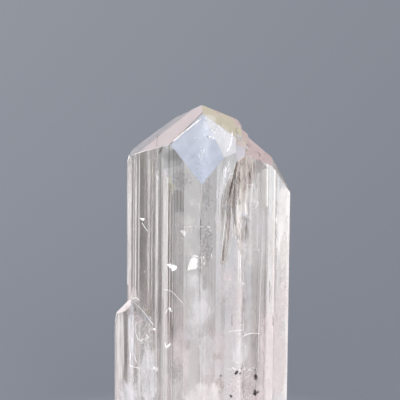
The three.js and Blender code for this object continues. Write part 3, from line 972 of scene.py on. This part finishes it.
def crumbs_on(surface, name, tree, material, per_square_mm, sizes, depths, seed):
    """Replaces a surface by the crumbs on it, as one plain mesh."""
    surface.name = name
    grower = surface.modifiers.new("crumbs", "NODES")
    grower.node_group = tree
    given = {
        "How many per square metre": per_square_mm / MM ** 2,
        "Smallest": sizes[0] * MM,
        "Largest": sizes[1] * MM,
        "Shallowest": depths[0] * MM,
        "Deepest": depths[1] * MM,
        "Seed": seed,
        "Material": material,
    }
    for socket in tree.interface.items_tree:
        if socket.in_out == "INPUT" and socket.name in given:
            grower[socket.identifier] = given[socket.name]
    seen = surface.evaluated_get(bpy.context.evaluated_depsgraph_get())
    mesh = bpy.data.meshes.new_from_object(seen)
    surface.modifiers.clear()
    surface.data = mesh
    mesh.name = name
    ride_along(surface)


def make_crumbs():
    tree = crumb_tree()

    def upright_sides(shape):
        sloping_from = 0.3
        solid = bpy.data.meshes.new("solid")
        crystal = crystal_solid()
        bmesh.ops.recalc_face_normals(crystal, faces=crystal.faces)
        sloping = [face for face in crystal.faces if abs(face.normal.z) > sloping_from]
        bmesh.ops.delete(crystal, geom=sloping, context="FACES")
        crystal.to_mesh(solid)
        crystal.free()
        shape.from_mesh(solid)

    def oval_patch(oval):
        films = Films()
        films.add(oval_rows(*oval), SKIN * MM, 1.0, WHITE, GRAINY)
        mesh = bpy.data.meshes.new("patch")
        mesh.from_pydata(films.places, [], films.faces)
        return placed_object("patch", mesh)

    sides = plain_mesh_object("sides", upright_sides)
    # These crumbs glow with the painted light of the white cracks.
    white = bpy.data.materials["white_crack"]
    crumbs_on(sides, "white_crumbs", tree, white, 0.22, (0.015, 0.055), (0.1, 1.6), 3)
    for name, oval, kind, per_square_mm, sizes, depths, seed in CRUMB_OVALS:
        material = bpy.data.materials[kind]
        crumbs_on(oval_patch(oval), name, tree, material, per_square_mm, sizes, depths, seed)


# Films: thin milky or stained layers, and films of painted light and shade, just under the surface or on
# it, which fade out at their edges

WHITE = (0.97, 0.97, 0.975)
CREAM = (0.98, 0.945, 0.90)
PINK = (0.97, 0.865, 0.855)
PALE_BLUE = (0.80, 0.82, 0.86)
RUST = (0.13, 0.095, 0.075)
TAN = (0.46, 0.36, 0.30)
# Greys of painted shade
SHADE_GREY = (0.30, 0.29, 0.28)
SHADOW = (0.17, 0.15, 0.135)
OLIVE = (0.62, 0.58, 0.38)
# Painted shade along the striations
SHADE_BROWN = (0.24, 0.205, 0.18)
FAWN = (0.66, 0.57, 0.51)
OAT = (0.86, 0.80, 0.73)
# Slate grey of painted shade
SLATE = (0.35, 0.31, 0.30)
ROSE = (0.82, 0.755, 0.745)
ASH = (0.70, 0.70, 0.70)

# How fibrous and how grainy a film is
SOFT = (0.0, 0.0)
FIBROUS = (1.0, 0.0)
GRAINY = (0.0, 1.0)
RAGGED = (1.0, 0.5)

# The depth in mm of a film that lies on the surface
SKIN = -0.02

# Milky layers, which glow with painted light: an oval's middle and half sizes in pixels, its depth in mm,
# cover, paint and texture
MILKY_LAYERS = (
    (202, 307, 15, 27, SKIN, 0.26, WHITE, SOFT),
    (178, 372, 13, 34, SKIN, 0.35, ROSE, SOFT),
    (193.4, 202, 6.0, 7, 0.9, 0.55, WHITE, SOFT),
    (184, 219, 12, 7, 0.7, 0.35, WHITE, SOFT),
    (194.4, 222, 4.6, 5, 0.7, 0.30, WHITE, SOFT),
    (191.6, 254, 7.6, 7, 0.6, 0.45, WHITE, SOFT),
    (194, 281, 13, 13, SKIN, 0.35, WHITE, SOFT),
    (188.6, 235, 8.6, 20, 0.9, 0.30, WHITE, SOFT),
    (181, 246, 6, 17, 0.5, 0.35, PINK, FIBROUS),
    (219, 222, 6, 36, 0.5, 0.45, CREAM, FIBROUS),
    (223, 182, 5, 18, 0.4, 0.60, WHITE, FIBROUS),
    (228, 168, 5, 8, 0.2, 0.70, WHITE, GRAINY),
    (237, 226, 5, 18, 0.4, 0.65, CREAM, FIBROUS),
    (241, 250, 9, 13, SKIN, 0.35, ASH, GRAINY),
    (240, 264, 4.5, 24, SKIN, 0.55, ASH, SOFT),
    (252, 252, 9, 28, 0.7, 0.40, WHITE, SOFT),
    (257, 208, 7, 36, 0.6, 0.35, PALE_BLUE, SOFT),
    (271.5, 215, 3, 48, 0.25, 0.50, WHITE, FIBROUS),
    (165.5, 248, 2.8, 86, 0.25, 0.70, CREAM, FIBROUS),
    (156.8, 242, 1.7, 84, 0.25, 0.60, CREAM, FIBROUS),
    (130.2, 228, 3.0, 78, 0.25, 0.60, CREAM, FIBROUS),
)

# Milky skins on the surface, given in the same way
MILKY_SKINS = (
    (165.4, 177, 3.4, 13, SKIN, 0.50, PINK, FIBROUS),
    (243, 203, 8, 15, SKIN, 0.35, CREAM, FIBROUS),
    (245, 206, 3, 10, 1.5 * SKIN, 0.60, CREAM, FIBROUS),
    (241, 249, 6, 4, SKIN, 0.55, CREAM, GRAINY),
    (227, 277, 8, 5, SKIN, 0.60, PINK, GRAINY),
    (252, 224, 6, 16, SKIN, 0.25, WHITE, FIBROUS),
    (157.6, 180, 2.2, 12, SKIN, 0.45, CREAM, FIBROUS),
    (170.3, 182, 1.8, 8, SKIN, 0.55, OLIVE, FIBROUS),
    (173.0, 188, 1.8, 8, SKIN, 0.55, OLIVE, FIBROUS),
    (198.8, 246, 2.4, 52, SKIN, 0.80, ASH, SOFT),
    (283, 222, 8.5, 60, SKIN, 0.95, CREAM, SOFT),
    (283.5, 322, 8, 92, SKIN, 0.90, CREAM, SOFT),
    (229, 288, 13, 34, SKIN, 0.45, ROSE, SOFT),
    (235, 320, 10, 22, SKIN, 0.45, ROSE, SOFT),
    (222, 346, 13, 24, SKIN, 0.50, ROSE, SOFT),
    (240.5, 300, 5.5, 52, SKIN, 0.65, ROSE, SOFT),
    (248, 300, 6, 52, SKIN, 0.50, ASH, SOFT),
    (240, 284.5, 7, 4, SKIN, 0.70, WHITE, GRAINY),
    (237, 331, 9, 3.5, SKIN, 0.55, WHITE, SOFT),
    (239, 350, 11, 15, SKIN, 0.45, WHITE, SOFT),
    (272, 352, 15, 56, SKIN, 0.65, PINK, SOFT),
    (282, 300, 8, 34, SKIN, 0.40, PINK, SOFT),
    (262, 396, 15, 18, SKIN, 0.55, PINK, SOFT),
    (279, 358, 11, 44, 1.5 * SKIN, 0.45, ROSE, SOFT),
    (273, 232, 5, 40, 1.5 * SKIN, 0.30, OAT, FIBROUS),
    (259, 240, 8, 46, SKIN, 0.22, PALE_BLUE, SOFT),
    (188, 334, 6, 10, 1.5 * SKIN, 0.35, ASH, SOFT),
    (224, 342, 10, 26, 1.5 * SKIN, 0.30, ROSE, SOFT),
    (149, 376, 8, 26, 2 * SKIN, 0.40, WHITE, SOFT),
    (201, 320, 14, 26, SKIN, 0.40, WHITE, SOFT),
    (206, 354, 11, 34, SKIN, 0.45, WHITE, SOFT),
    (204, 396, 27, 22, SKIN, 0.80, CREAM, SOFT),
    (182, 345, 10, 24, SKIN, 0.40, PINK, SOFT),
    (181, 312, 8, 22, SKIN, 0.25, PINK, SOFT),
    (239, 388, 22, 21, SKIN, 0.55, ROSE, GRAINY),
    (164.5, 352, 3.2, 56, SKIN, 0.55, CREAM, FIBROUS),
    (119.5, 352, 6, 56, SKIN, 0.60, CREAM, FIBROUS),
    (131.5, 340, 4.2, 52, SKIN, 0.70, WHITE, FIBROUS),
    (149, 358, 11, 22, SKIN, 0.75, WHITE, SOFT),
    (150, 391, 11, 22, SKIN, 0.75, WHITE, SOFT),
    (128, 394, 12, 19, SKIN, 0.70, WHITE, SOFT),
    (141, 376, 6, 22, SKIN, 0.60, WHITE, FIBROUS),
    (145, 328, 9, 24, SKIN, 0.45, WHITE, GRAINY),
    (227, 140, 6, 14, SKIN, 0.30, WHITE, SOFT),
    (211, 118, 10, 5, SKIN, 0.35, WHITE, SOFT),
    (213, 135, 6, 6, SKIN, 0.25, WHITE, SOFT),
    (208, 125, 9, 7, SKIN, 0.20, WHITE, GRAINY),
    (222, 134, 8, 11, SKIN, 0.20, WHITE, GRAINY),
    (201, 158, 3, 9, SKIN, 0.25, WHITE, SOFT),
)

# Stained layers, and grey layers of painted shade, given in the same way
STAINS_AND_PAINTED_SHADE = (
    (243, 196, 8, 16, SKIN, 0.75, OAT, FIBROUS),
    (231.5, 192, 5, 30, SKIN, 0.45, FAWN, FIBROUS),
    (227, 232, 4.5, 36, SKIN, 0.35, OAT, FIBROUS),
    (225, 256, 5, 14, 0.3, 0.45, TAN, GRAINY),
    (245, 232, 6, 9, 0.3, 0.45, TAN, FIBROUS),
    (207.4, 245, 6.2, 24, SKIN, 0.50, SHADE_GREY, GRAINY),
    (207.4, 196, 6.2, 20, SKIN, 0.42, SHADE_GREY, GRAINY),
    (204.6, 282, 3, 10, SKIN, 0.35, SHADE_GREY, SOFT),
    (173, 156, 16, 9, 0.4, 0.50, SHADE_GREY, SOFT),
    (182, 180, 12, 12, 0.4, 0.40, SHADE_GREY, GRAINY),
    (142.5, 252, 5, 34, 0.4, 0.40, SHADE_GREY, SOFT),
    (175, 285, 4, 26, 0.4, 0.45, SHADE_GREY, FIBROUS),
    (171.5, 328, 3.2, 24, SKIN, 0.45, SHADOW, FIBROUS),
    (126, 342, 2.6, 42, SKIN, 0.45, SHADOW, FIBROUS),
    (136, 375, 3, 16, SKIN, 0.60, SHADE_GREY, FIBROUS),
    (148.3, 384, 2.4, 14, SKIN, 0.55, SHADE_GREY, FIBROUS),
    (142, 322, 8, 18, SKIN, 0.40, SHADE_GREY, GRAINY),
    (133, 312, 8, 10, SKIN, 0.40, SHADE_GREY, GRAINY),
    (175, 371, 9, 15, SKIN, 0.35, SHADE_GREY, GRAINY),
    (188, 345, 4, 7, SKIN, 0.30, SHADE_GREY, SOFT),
    (225, 299, 3.5, 5, SKIN, 0.35, TAN, GRAINY),
    (219, 356, 7, 5, SKIN, 0.45, TAN, GRAINY),
    (220, 386, 6, 10, SKIN, 0.45, TAN, GRAINY),
    (247, 386, 8, 9, SKIN, 0.35, TAN, GRAINY),
    (170.3, 188, 2.6, 6, 0.2, 0.55, OLIVE, FIBROUS),
    (148, 312, 3.5, 5, SKIN, 0.50, OLIVE, GRAINY),
    (255, 350, 6, 26, SKIN, 0.30, SHADE_GREY, SOFT),
    (264, 300, 3.6, 60, 0.5, 0.30, SHADE_GREY, SOFT),
    (252, 290, 6, 30, 0.4, 0.30, SHADE_GREY, SOFT),
)

# Stained layers and layers of painted shade with a firm outline: their corners in pixels, depth in mm,
# cover, paint and texture
OUTLINED_STAINS_AND_SHADE = (
    (((255.5, 160), (259.5, 159), (263.5, 162), (268.5, 168), (262, 171), (256, 177), (254.6, 169)), SKIN,
     0.90, SLATE, SOFT),
    (((236.8, 160), (242, 156), (249, 154), (254.6, 158), (255.6, 166), (254.8, 177), (252, 187),
     (248, 194), (242, 193), (238, 187), (236.4, 172)), SKIN, 0.85, FAWN, FIBROUS),
    (((243.2, 217.2), (251.2, 217.6), (250.4, 222.4), (244.4, 221.6)), 0.2, 0.55, SHADOW, FIBROUS),
    (((174.0, 189), (184.0, 191), (184.0, 213), (178, 212), (174.2, 214)), 0.3, 0.45, SHADOW, FIBROUS),
    (((160, 146), (190, 152), (180, 166), (163, 170)), 0.4, 0.35, SHADOW, SOFT),
)
# Bright milky layers with a firm outline, which glow with painted light, given in the same way
BRIGHT_OUTLINED_LAYERS = (
    (((243.2, 200.0), (248.0, 201.6), (248.2, 215.8), (243.0, 216.0), (243.6, 210)), SKIN, 0.85, WHITE,
     SOFT),
    (((235.4, 205), (242.4, 203), (242.6, 226), (240.6, 236), (237.0, 230), (235.6, 216)), SKIN, 0.55,
     CREAM, FIBROUS),
)

# Brown streaks in the etched channels: their line in pixels, full width in pixels, cover and paint
RUST_STREAKS = (
    (((238.4, 158), (236.2, 168), (233.2, 178), (231.2, 187), (229.6, 197), (228.2, 206)), 4.6, 0.30, TAN),
    (((229.8, 200), (228.6, 212), (229.0, 226), (228.2, 240), (225.6, 252), (223.4, 266)), 4.0, 0.12, TAN),
    (((236.4, 164), (233.8, 173), (232.6, 180), (230.4, 187), (229.0, 197), (227.4, 204)), 1.4, 0.95, RUST),
    (((235.8, 172), (235.4, 176), (234.6, 183), (234.4, 190)), 1.5, 0.85, RUST),
    (((232.6, 180), (231.6, 188), (229.4, 196)), 2.0, 0.95, RUST),
    (((227.4, 203), (226.4, 210), (227.4, 216), (226.4, 224), (227.6, 234)), 1.1, 0.80, RUST),
    (((229.6, 203), (229.0, 212), (229.6, 220), (228.8, 230), (228.4, 238), (226.4, 247)), 0.9, 0.65, RUST),
    (((225.8, 246), (223.2, 252), (222.6, 259), (222.2, 264)), 0.8, 0.40, RUST),
    (((231.6, 206), (231.2, 216), (232.4, 228), (232.0, 240)), 1.6, 0.70, CREAM),
    (((225.2, 250), (224.6, 256), (224.4, 262)), 1.4, 0.45, CREAM),
    (((227.4, 244), (226.8, 252), (225.8, 259)), 0.7, 0.40, RUST),
    (((235.2, 176), (234.4, 190), (233.8, 204), (235.0, 217)), 1.3, 0.95, RUST),
    (((234.0, 213), (235.4, 222), (236.2, 231), (237.8, 240)), 1.5, 0.80, RUST),
    (((233.0, 196), (232.2, 208), (233.0, 214)), 2.0, 0.45, TAN),
    (((249.2, 172), (250.2, 180), (249.6, 188)), 1.4, 0.85, RUST),
    (((247.6, 160), (248.8, 168), (249.2, 174)), 1.0, 0.60, RUST),
    (((246.7, 221), (245.5, 231), (245.3, 240)), 1.4, 0.50, RUST),
    (((241.3, 228), (241.7, 241)), 1.1, 0.60, RUST),
    (((240.6, 158), (239.0, 170), (238.6, 184)), 1.2, 0.55, RUST),
    (((244.6, 156), (243.8, 170), (245.2, 182)), 1.3, 0.45, RUST),
    (((269.4, 280), (269.6, 304)), 0.9, 0.80, RUST),
    (((271.0, 284), (271.2, 300)), 0.7, 0.60, RUST),
    (((272.8, 315), (273.0, 326)), 1.0, 0.90, RUST),
    (((274.4, 313), (276.6, 316), (275.8, 321)), 0.8, 0.50, RUST),
    (((230.2, 313.6), (232.0, 314.4), (231.8, 320.0), (231.6, 326.5)), 1.1, 0.60, RUST),
    (((158.6, 134), (157.2, 141), (156.4, 148)), 1.0, 0.70, RUST),
    (((239.4, 127.6), (236.2, 128.6), (235.2, 131.0), (238.8, 134.0)), 1.2, 0.80, RUST),
    (((246.4, 143.4), (249.6, 147.0)), 1.2, 0.80, RUST),
    (((255.6, 151.4), (258.4, 152.4), (260.6, 156.4)), 1.4, 0.70, RUST),
)

# Pale streaks on the surface, given in the same way; the first is a painted highlight along an edge of the
# roof
PALE_STREAKS_AND_EDGE_HIGHLIGHT = (
    (((170.8, 143.4), (185.0, 131.4), (200.6, 119.2)), 2.0, 0.80, CREAM),
    (((232.5, 131.0), (231.6, 140.0), (229.6, 147.0), (226.8, 152.0)), 2.2, 0.85, WHITE),
    (((223.8, 168.0), (223.4, 176.0), (222.8, 186.0), (222.0, 196.0)), 2.2, 0.80, WHITE),
    (((226.4, 167.0), (225.4, 172.0), (224.6, 178.0)), 2.8, 0.95, WHITE),
    (((231.8, 172.0), (229.6, 175.6), (227.6, 179.6)), 2.2, 0.85, WHITE),
    (((257.8, 200.5), (257.4, 204.5), (255.4, 207.5), (252.8, 209.2)), 1.5, 0.90, WHITE),
    (((252.4, 182.0), (251.4, 194.0), (250.6, 205.0)), 1.8, 0.80, CREAM),
    (((238.0, 192.0), (237.6, 203.0), (238.4, 212.0)), 1.8, 0.70, CREAM),
    (((240.2, 215.0), (241.6, 223.0), (242.4, 231.0)), 1.8, 0.70, WHITE),
    (((231.8, 214.0), (232.2, 226.0), (234.0, 240.0)), 1.8, 0.60, CREAM),
    (((246.4, 188.0), (246.2, 200.0), (246.0, 214.0)), 3.6, 0.90, CREAM),
    (((251.4, 205.0), (250.6, 214.0), (251.0, 222.0)), 2.0, 0.60, WHITE),
    (((144.6, 352.0), (145.0, 372.0), (145.4, 392.0)), 4.0, 0.55, WHITE),
    (((152.6, 352.0), (152.8, 372.0), (153.2, 392.0)), 3.6, 0.55, WHITE),
    (((241.0, 186.0), (240.4, 198.0), (240.2, 212.0)), 2.4, 0.60, CREAM),
)

# Lines of painted light and shade along the striations: their place across in pixels where they pass the
# row set below, from where to where they run down, their full width in pixels, cover and paint
PAINTED_STRIPES_AT = 200
PAINTED_STRIPES = (
    (130.0, 158, 298, 3.4, 0.45, CREAM), (132.6, 156, 296, 2.0, 0.60, SHADE_BROWN),
    (133.9, 156, 296, 1.2, 0.60, CREAM), (134.9, 155, 296, 1.0, 0.55, SHADE_BROWN),
    (136.2, 155, 296, 2.0, 0.65, CREAM), (137.8, 154, 296, 1.8, 0.60, SHADE_BROWN),
    (139.3, 154, 298, 1.6, 0.60, CREAM), (143.8, 154, 298, 10.0, 0.30, SHADE_BROWN),
    (149.2, 152, 300, 2.6, 0.45, OAT), (151.1, 152, 306, 1.0, 0.55, SHADE_BROWN),
    (152.1, 152, 306, 1.2, 0.50, OAT), (154.2, 150, 322, 2.0, 0.45, SHADE_BROWN),
    (157.0, 174, 392, 3.0, 0.70, CREAM), (159.0, 166, 392, 1.0, 0.45, SHADE_BROWN),
    (160.8, 160, 345, 3.2, 0.30, SHADE_BROWN), (162.4, 166, 345, 0.9, 0.45, SHADE_BROWN),
    (160.4, 318, 398, 4.0, 0.45, ROSE), (165.6, 178, 345, 5.6, 0.50, CREAM),
    (169.0, 182, 345, 1.4, 0.65, SHADE_BROWN), (170.3, 186, 345, 1.4, 0.55, CREAM),
    (171.3, 186, 345, 0.8, 0.50, SHADE_BROWN), (172.3, 190, 345, 1.2, 0.60, SHADE_BROWN),
    (173.3, 190, 330, 1.2, 0.50, CREAM), (174.4, 190, 256, 1.2, 0.55, SHADE_BROWN),
    (177.6, 190, 214, 1.1, 0.40, SHADE_BROWN), (180.6, 190, 214, 1.1, 0.40, SHADE_BROWN),
    (183.5, 186, 214, 1.1, 0.45, SHADE_BROWN), (149.0, 300, 340, 1.6, 0.40, SHADE_BROWN),
    (270.5, 196, 300, 1.6, 0.35, WHITE), (257.2, 196, 250, 1.2, 0.35, WHITE),
    (278.2, 170, 300, 2.4, 0.50, WHITE),
)

# Bundles of fibres, each between a left and a right line in pixels from its top down: how many fibres there
# are, how long and how wide in pixels, how much they cover and their paints; their greys are painted shade
FIBRE_BUNDLES = (
    (((238.5, 157), (235, 172), (231, 188), (227.5, 204)),
     ((242, 157), (239.6, 172), (237, 190), (235, 212)),
     56, (6, 18), (0.5, 1.3), (0.35, 0.85), (RUST, TAN, FAWN, OAT, CREAM)),
    (((241, 156), (239.5, 172), (238, 188), (237, 204)),
     ((254, 158), (255, 172), (251, 188), (247, 202)),
     80, (6, 20), (0.5, 1.4), (0.30, 0.80), (TAN, FAWN, FAWN, OAT, CREAM, WHITE)),
    (((227.5, 204), (226, 222), (224.5, 244), (221.5, 268)),
     ((234.5, 204), (234, 222), (231, 244), (226, 268)),
     56, (6, 22), (0.5, 1.2), (0.25, 0.60), (FAWN, OAT, OAT, CREAM, CREAM, WHITE)),
    (((234.5, 210), (235.5, 222), (237, 240), (238.5, 256)),
     ((243, 206), (243, 222), (242.5, 240), (243, 256)),
     50, (5, 14), (0.5, 1.3), (0.30, 0.80), (TAN, FAWN, OAT, CREAM, WHITE)),
    (((246, 186), (249, 196), (250, 206), (250, 216)),
     ((255, 176), (258, 192), (259, 204), (257, 216)),
     34, (5, 14), (0.5, 1.2), (0.30, 0.70), (OAT, CREAM, WHITE, WHITE)),
    (((219, 160), (218, 180), (216, 200), (215, 222)),
     ((230, 164), (226.5, 180), (223, 200), (221, 222)),
     44, (6, 18), (0.5, 1.2), (0.25, 0.60), (OAT, WHITE, WHITE, SHADE_GREY)),
    (((132, 297), (130.5, 312), (130, 326), (130, 340)),
     ((140, 303), (146, 312), (152, 326), (153, 340)),
     60, (5, 16), (0.5, 1.3), (0.25, 0.60), (SHADE_GREY, SHADE_GREY, FAWN, WHITE, OAT)),
    (((131, 345), (131, 360), (132, 380), (133, 398)),
     ((144, 345), (143, 360), (142, 380), (141, 398)),
     40, (6, 16), (0.5, 1.3), (0.25, 0.55), (SHADE_GREY, SLATE, WHITE, WHITE, OAT)),
)


class Films:
    """Gathers films into one mesh. Each point knows its fade, and what its film is like."""

    def __init__(self):
        self.places = []
        self.faces = []
        self.values = {"fade": [], "cover": [], "fibrous": [], "grainy": []}
        self.tints = []

    def add(self, rows, deep, cover, tint, texture):
        """rows holds pixels side by side, each with its fade, or -1 where the film stops."""
        longest_side = 1.2 * MM
        numbers = {}
        for i, row in enumerate(rows):
            for k, (pixel, fade) in enumerate(row):
                if fade >= 0 and sees_crystal(*pixel):
                    numbers[i, k] = len(self.places)
                    self.places.append(seen_place(*pixel, deep))
                    for name, value in zip(self.values, (fade, cover, *texture)):
                        self.values[name].append(value)
                    self.tints.append((*tint, 1))
        for i, k in numbers:
            corners = [numbers.get(key) for key in ((i, k), (i + 1, k), (i + 1, k + 1), (i, k + 1))]
            if None in corners:
                continue
            ends = [self.places[corner] for corner in corners]
            if all((one - two).length < longest_side for one, two in zip(ends, ends[1:] + ends[:1])):
                self.faces.append(corners)

    def make_piece(self, name, material):
        mesh = bpy.data.meshes.new(name)
        mesh.from_pydata(self.places, [], self.faces)
        for title, numbers in self.values.items():
            mesh.attributes.new(title, "FLOAT", "POINT").data.foreach_set("value", numbers)
        tints = mesh.attributes.new("tint", "FLOAT_COLOR", "POINT")
        tints.data.foreach_set("color", [part for tint in self.tints for part in tint])
        mesh.materials.append(material)
        ride_along(placed_object(name, mesh))


def oval_rows(x, y, half_wide, half_tall):
    """The pixels of an oval, with a fade from 1 in the middle to 0 at the rim.

    They stand in columns along the striations, and stop on both sides of the crystal's front edge."""
    step_across = 0.55
    step_down = 1.5
    beside_edge = 0.05
    lowest_seen = PHOTO_SIDE + 20
    wide = max(3, math.ceil(half_wide / step_across))
    tall = max(3, math.ceil(half_tall / step_down))
    lean = upright_lean()
    high_x, high_y = seen_at(FRONT_EDGE[0])
    edge = high_x + (y - high_y) * lean - x
    columns = [(half_wide * i / wide, True) for i in range(-wide, wide + 1)]
    if abs(edge) < half_wide:
        columns += [(edge - beside_edge, True), (edge, False), (edge + beside_edge, True)]
    rows = []
    for k in range(-tall, tall + 1):
        down = half_tall * k / tall
        row = []
        for across, kept in sorted(columns):
            pixel = (x + across + down * lean, y + down)
            fade = 1 - math.hypot(across / half_wide, down / half_tall)
            row.append((pixel, fade if kept and pixel[1] < lowest_seen else -1))
        rows.append(row)
    return rows


def nearest_on_side(point, one, two):
    """The place on the side between two corners that is nearest to a point."""
    along = two - one
    share = max(0, min(1, (point - one).dot(along) / along.dot(along)))
    return one + along * share


def is_inside(pixel, sides):
    """True where an odd number of the outline's sides lies to the right of a pixel."""
    crossings = 0
    for one, two in sides:
        if (one.y > pixel.y) != (two.y > pixel.y):
            crossing = one.x + (two.x - one.x) * (pixel.y - one.y) / (two.y - one.y)
            crossings += pixel.x < crossing
    return crossings % 2 == 1


def outlined_rows(outline):
    """The pixels inside an outline and just past it, with a fade that reaches 1 a little way in."""
    step = 0.9
    edge_width = 1.6
    past_edge = 1.5 * step
    corners = [Vector(corner) for corner in outline]
    sides = list(zip(corners, corners[1:] + corners[:1]))
    left, right = min(c.x for c in corners) - step, max(c.x for c in corners) + step
    top, bottom = min(c.y for c in corners) - step, max(c.y for c in corners) + step
    rows = []
    for k in range(math.ceil((bottom - top) / step) + 1):
        row = []
        for i in range(math.ceil((right - left) / step) + 1):
            pixel = Vector((left + i * step, top + k * step))
            away = min((pixel - nearest_on_side(pixel, one, two)).length for one, two in sides)
            inside = is_inside(pixel, sides)
            fade = min(1, away / edge_width) if inside else 0
            row.append(((pixel.x, pixel.y), fade if inside or away < past_edge else -1))
        rows.append(row)
    return rows


def streak_rows(corners, wide, step=0.8):
    """The pixels of a streak along a line, with a fade from 1 in the middle to 0 at its sides and ends."""
    half = 3
    taper = 8
    rows = []
    for point, share in along_path(corners, step):
        at_end = min(1.0, taper * share, taper * (1 - share))
        row = []
        for k in range(-half, half + 1):
            pixel = (point.x + wide / 2 * k / half, point.y)
            row.append((pixel, (1 - abs(k) / half) * at_end))
        rows.append(row)
    return rows


def wavering(corners, chance):
    """A line of pixels made to waver a little from side to side."""
    bends = 10
    aside = 0.45
    points = [on_line(corners, k / bends) for k in range(bends + 1)]
    return [point + Vector((chance.uniform(-aside, aside), 0)) for point in points]


def fibre_rows(left, right, long, wide, chance):
    """The pixels of one fibre of a bundle, which runs along with its neighbours and wavers a little."""
    bends = 4
    aside = 0.25
    length = min(1, chance.uniform(*long) / line_length(left))
    start = chance.uniform(0, 1 - length)
    place = chance.random()
    corners = []
    for k in range(bends + 1):
        share = start + length * k / bends
        waver = Vector((chance.uniform(-aside, aside), 0))
        corners.append(on_line(left, share).lerp(on_line(right, share), place) + waver)
    return streak_rows(corners, chance.uniform(*wide))


def film_material(name, glow, full_at=0.75, ragged=0.22):
    """A layer that scatters light, and glows with painted light where glow is above 0. Its rim is torn by
    the same pattern that mottles it.
    """
    least_cover = 0.45
    material, tree, surface = new_material(name)

    def read(title):
        return node(tree, "ShaderNodeAttribute", attribute_name=title).outputs

    def mixed(title, plain, other):
        return node(tree, "ShaderNodeMix", {0: read(title)["Fac"], 2: plain, 3: other}).outputs[0]

    billows = ranged(tree, noise_pattern(tree, 330.0, 8.0, (1, 1, 0.6), roughness=0.6), 0.36, 0.64)
    fibres = ranged(tree, noise_pattern(tree, 2600.0, 4.0, (1, 1, 0.07)), 0.34, 0.66)
    grains = ranged(tree, noise_pattern(tree, 2300.0, 3.0), 0.42, 0.58)
    pattern = mixed("grainy", mixed("fibrous", billows, fibres), grains)
    torn = maths(tree, "ADD", read("fade")["Fac"], between(tree, pattern, -ragged, ragged))
    edge = ranged(tree, torn, 0.0, full_at, smooth=True)
    cover = product(tree, read("cover")["Fac"], between(tree, pattern, least_cover, 1.0), edge)
    tree.links.new(cover, surface.inputs["Alpha"])
    tree.links.new(read("tint")["Color"], surface.inputs["Base Color"])
    surface.inputs["Roughness"].default_value = 0.9
    surface.inputs["Specular IOR Level"].default_value = 0.0
    surface.inputs["Emission Color"].default_value = (1.0, 0.975, 0.965, 1)
    surface.inputs["Emission Strength"].default_value = glow
    return material


def gathered(ovals, outlined=()):
    films = Films()
    for x, y, half_wide, half_tall, deep, cover, tint, texture in ovals:
        films.add(oval_rows(x, y, half_wide, half_tall), deep * MM, cover, tint, texture)
    for outline, deep, cover, tint, texture in outlined:
        films.add(outlined_rows(outline), deep * MM, cover, tint, texture)
    return films


def make_milky_skins_and_painted_light():
    step = 2.4
    lean = upright_lean()
    skins = gathered(MILKY_SKINS)
    # Lighter and darker lines along the striations, as painted light and shade
    for x, top, low, wide, cover, tint in PAINTED_STRIPES:
        corners = ((x + (top - PAINTED_STRIPES_AT) * lean, top), (x + (low - PAINTED_STRIPES_AT) * lean, low))
        skins.add(streak_rows(corners, wide, step), 1.5 * SKIN * MM, cover, tint, FIBROUS)
    # Pale streaks, the first a painted highlight along an edge of the roof
    for corners, wide, cover, tint in PALE_STREAKS_AND_EDGE_HIGHLIGHT:
        skins.add(streak_rows(corners, wide), 2 * SKIN * MM, cover, tint, FIBROUS)
    skins.make_piece("milky_skins_and_painted_light", film_material("milky_skin_and_painted_light_film", 0.0, full_at=0.55, ragged=0.28))


def make_stains_and_painted_shade():
    chance = random.Random(37)
    # Stains, with grey films of painted shade among them
    stains_and_shade = gathered(STAINS_AND_PAINTED_SHADE, OUTLINED_STAINS_AND_SHADE)
    for left, right, count, long, wide, covers, tints in FIBRE_BUNDLES:
        for _ in range(count):
            rows = fibre_rows(left, right, long, wide, chance)
            cover = chance.uniform(*covers)
            stains_and_shade.add(rows, 1.5 * SKIN * MM, cover, chance.choice(tints), FIBROUS)
    for corners, wide, cover, tint in RUST_STREAKS:
        rows = streak_rows(wavering(corners, chance), wide)
        stains_and_shade.add(rows, 2 * SKIN * MM, cover, tint, RAGGED)
    stains_and_shade.make_piece("stains_and_painted_shade_films", film_material("stain_and_painted_shade_film", 0.0))


def make_films():
    milky = gathered(MILKY_LAYERS, BRIGHT_OUTLINED_LAYERS)
    # The milky layers glow with painted light.
    milky.make_piece("milky_layers", film_material("milky_layer_with_painted_glow", 0.28))
    make_milky_skins_and_painted_light()
    make_stains_and_painted_shade()


make_camera()
make_floor()
make_light_tent()
make_lights()
make_crystal()
make_white_cracks()
make_dark_grains()
make_films()
make_crumbs()
bpy.context.scene.cycles.transparent_max_bounces = 32
bpy.context.scene.view_settings.view_transform = "Standard"
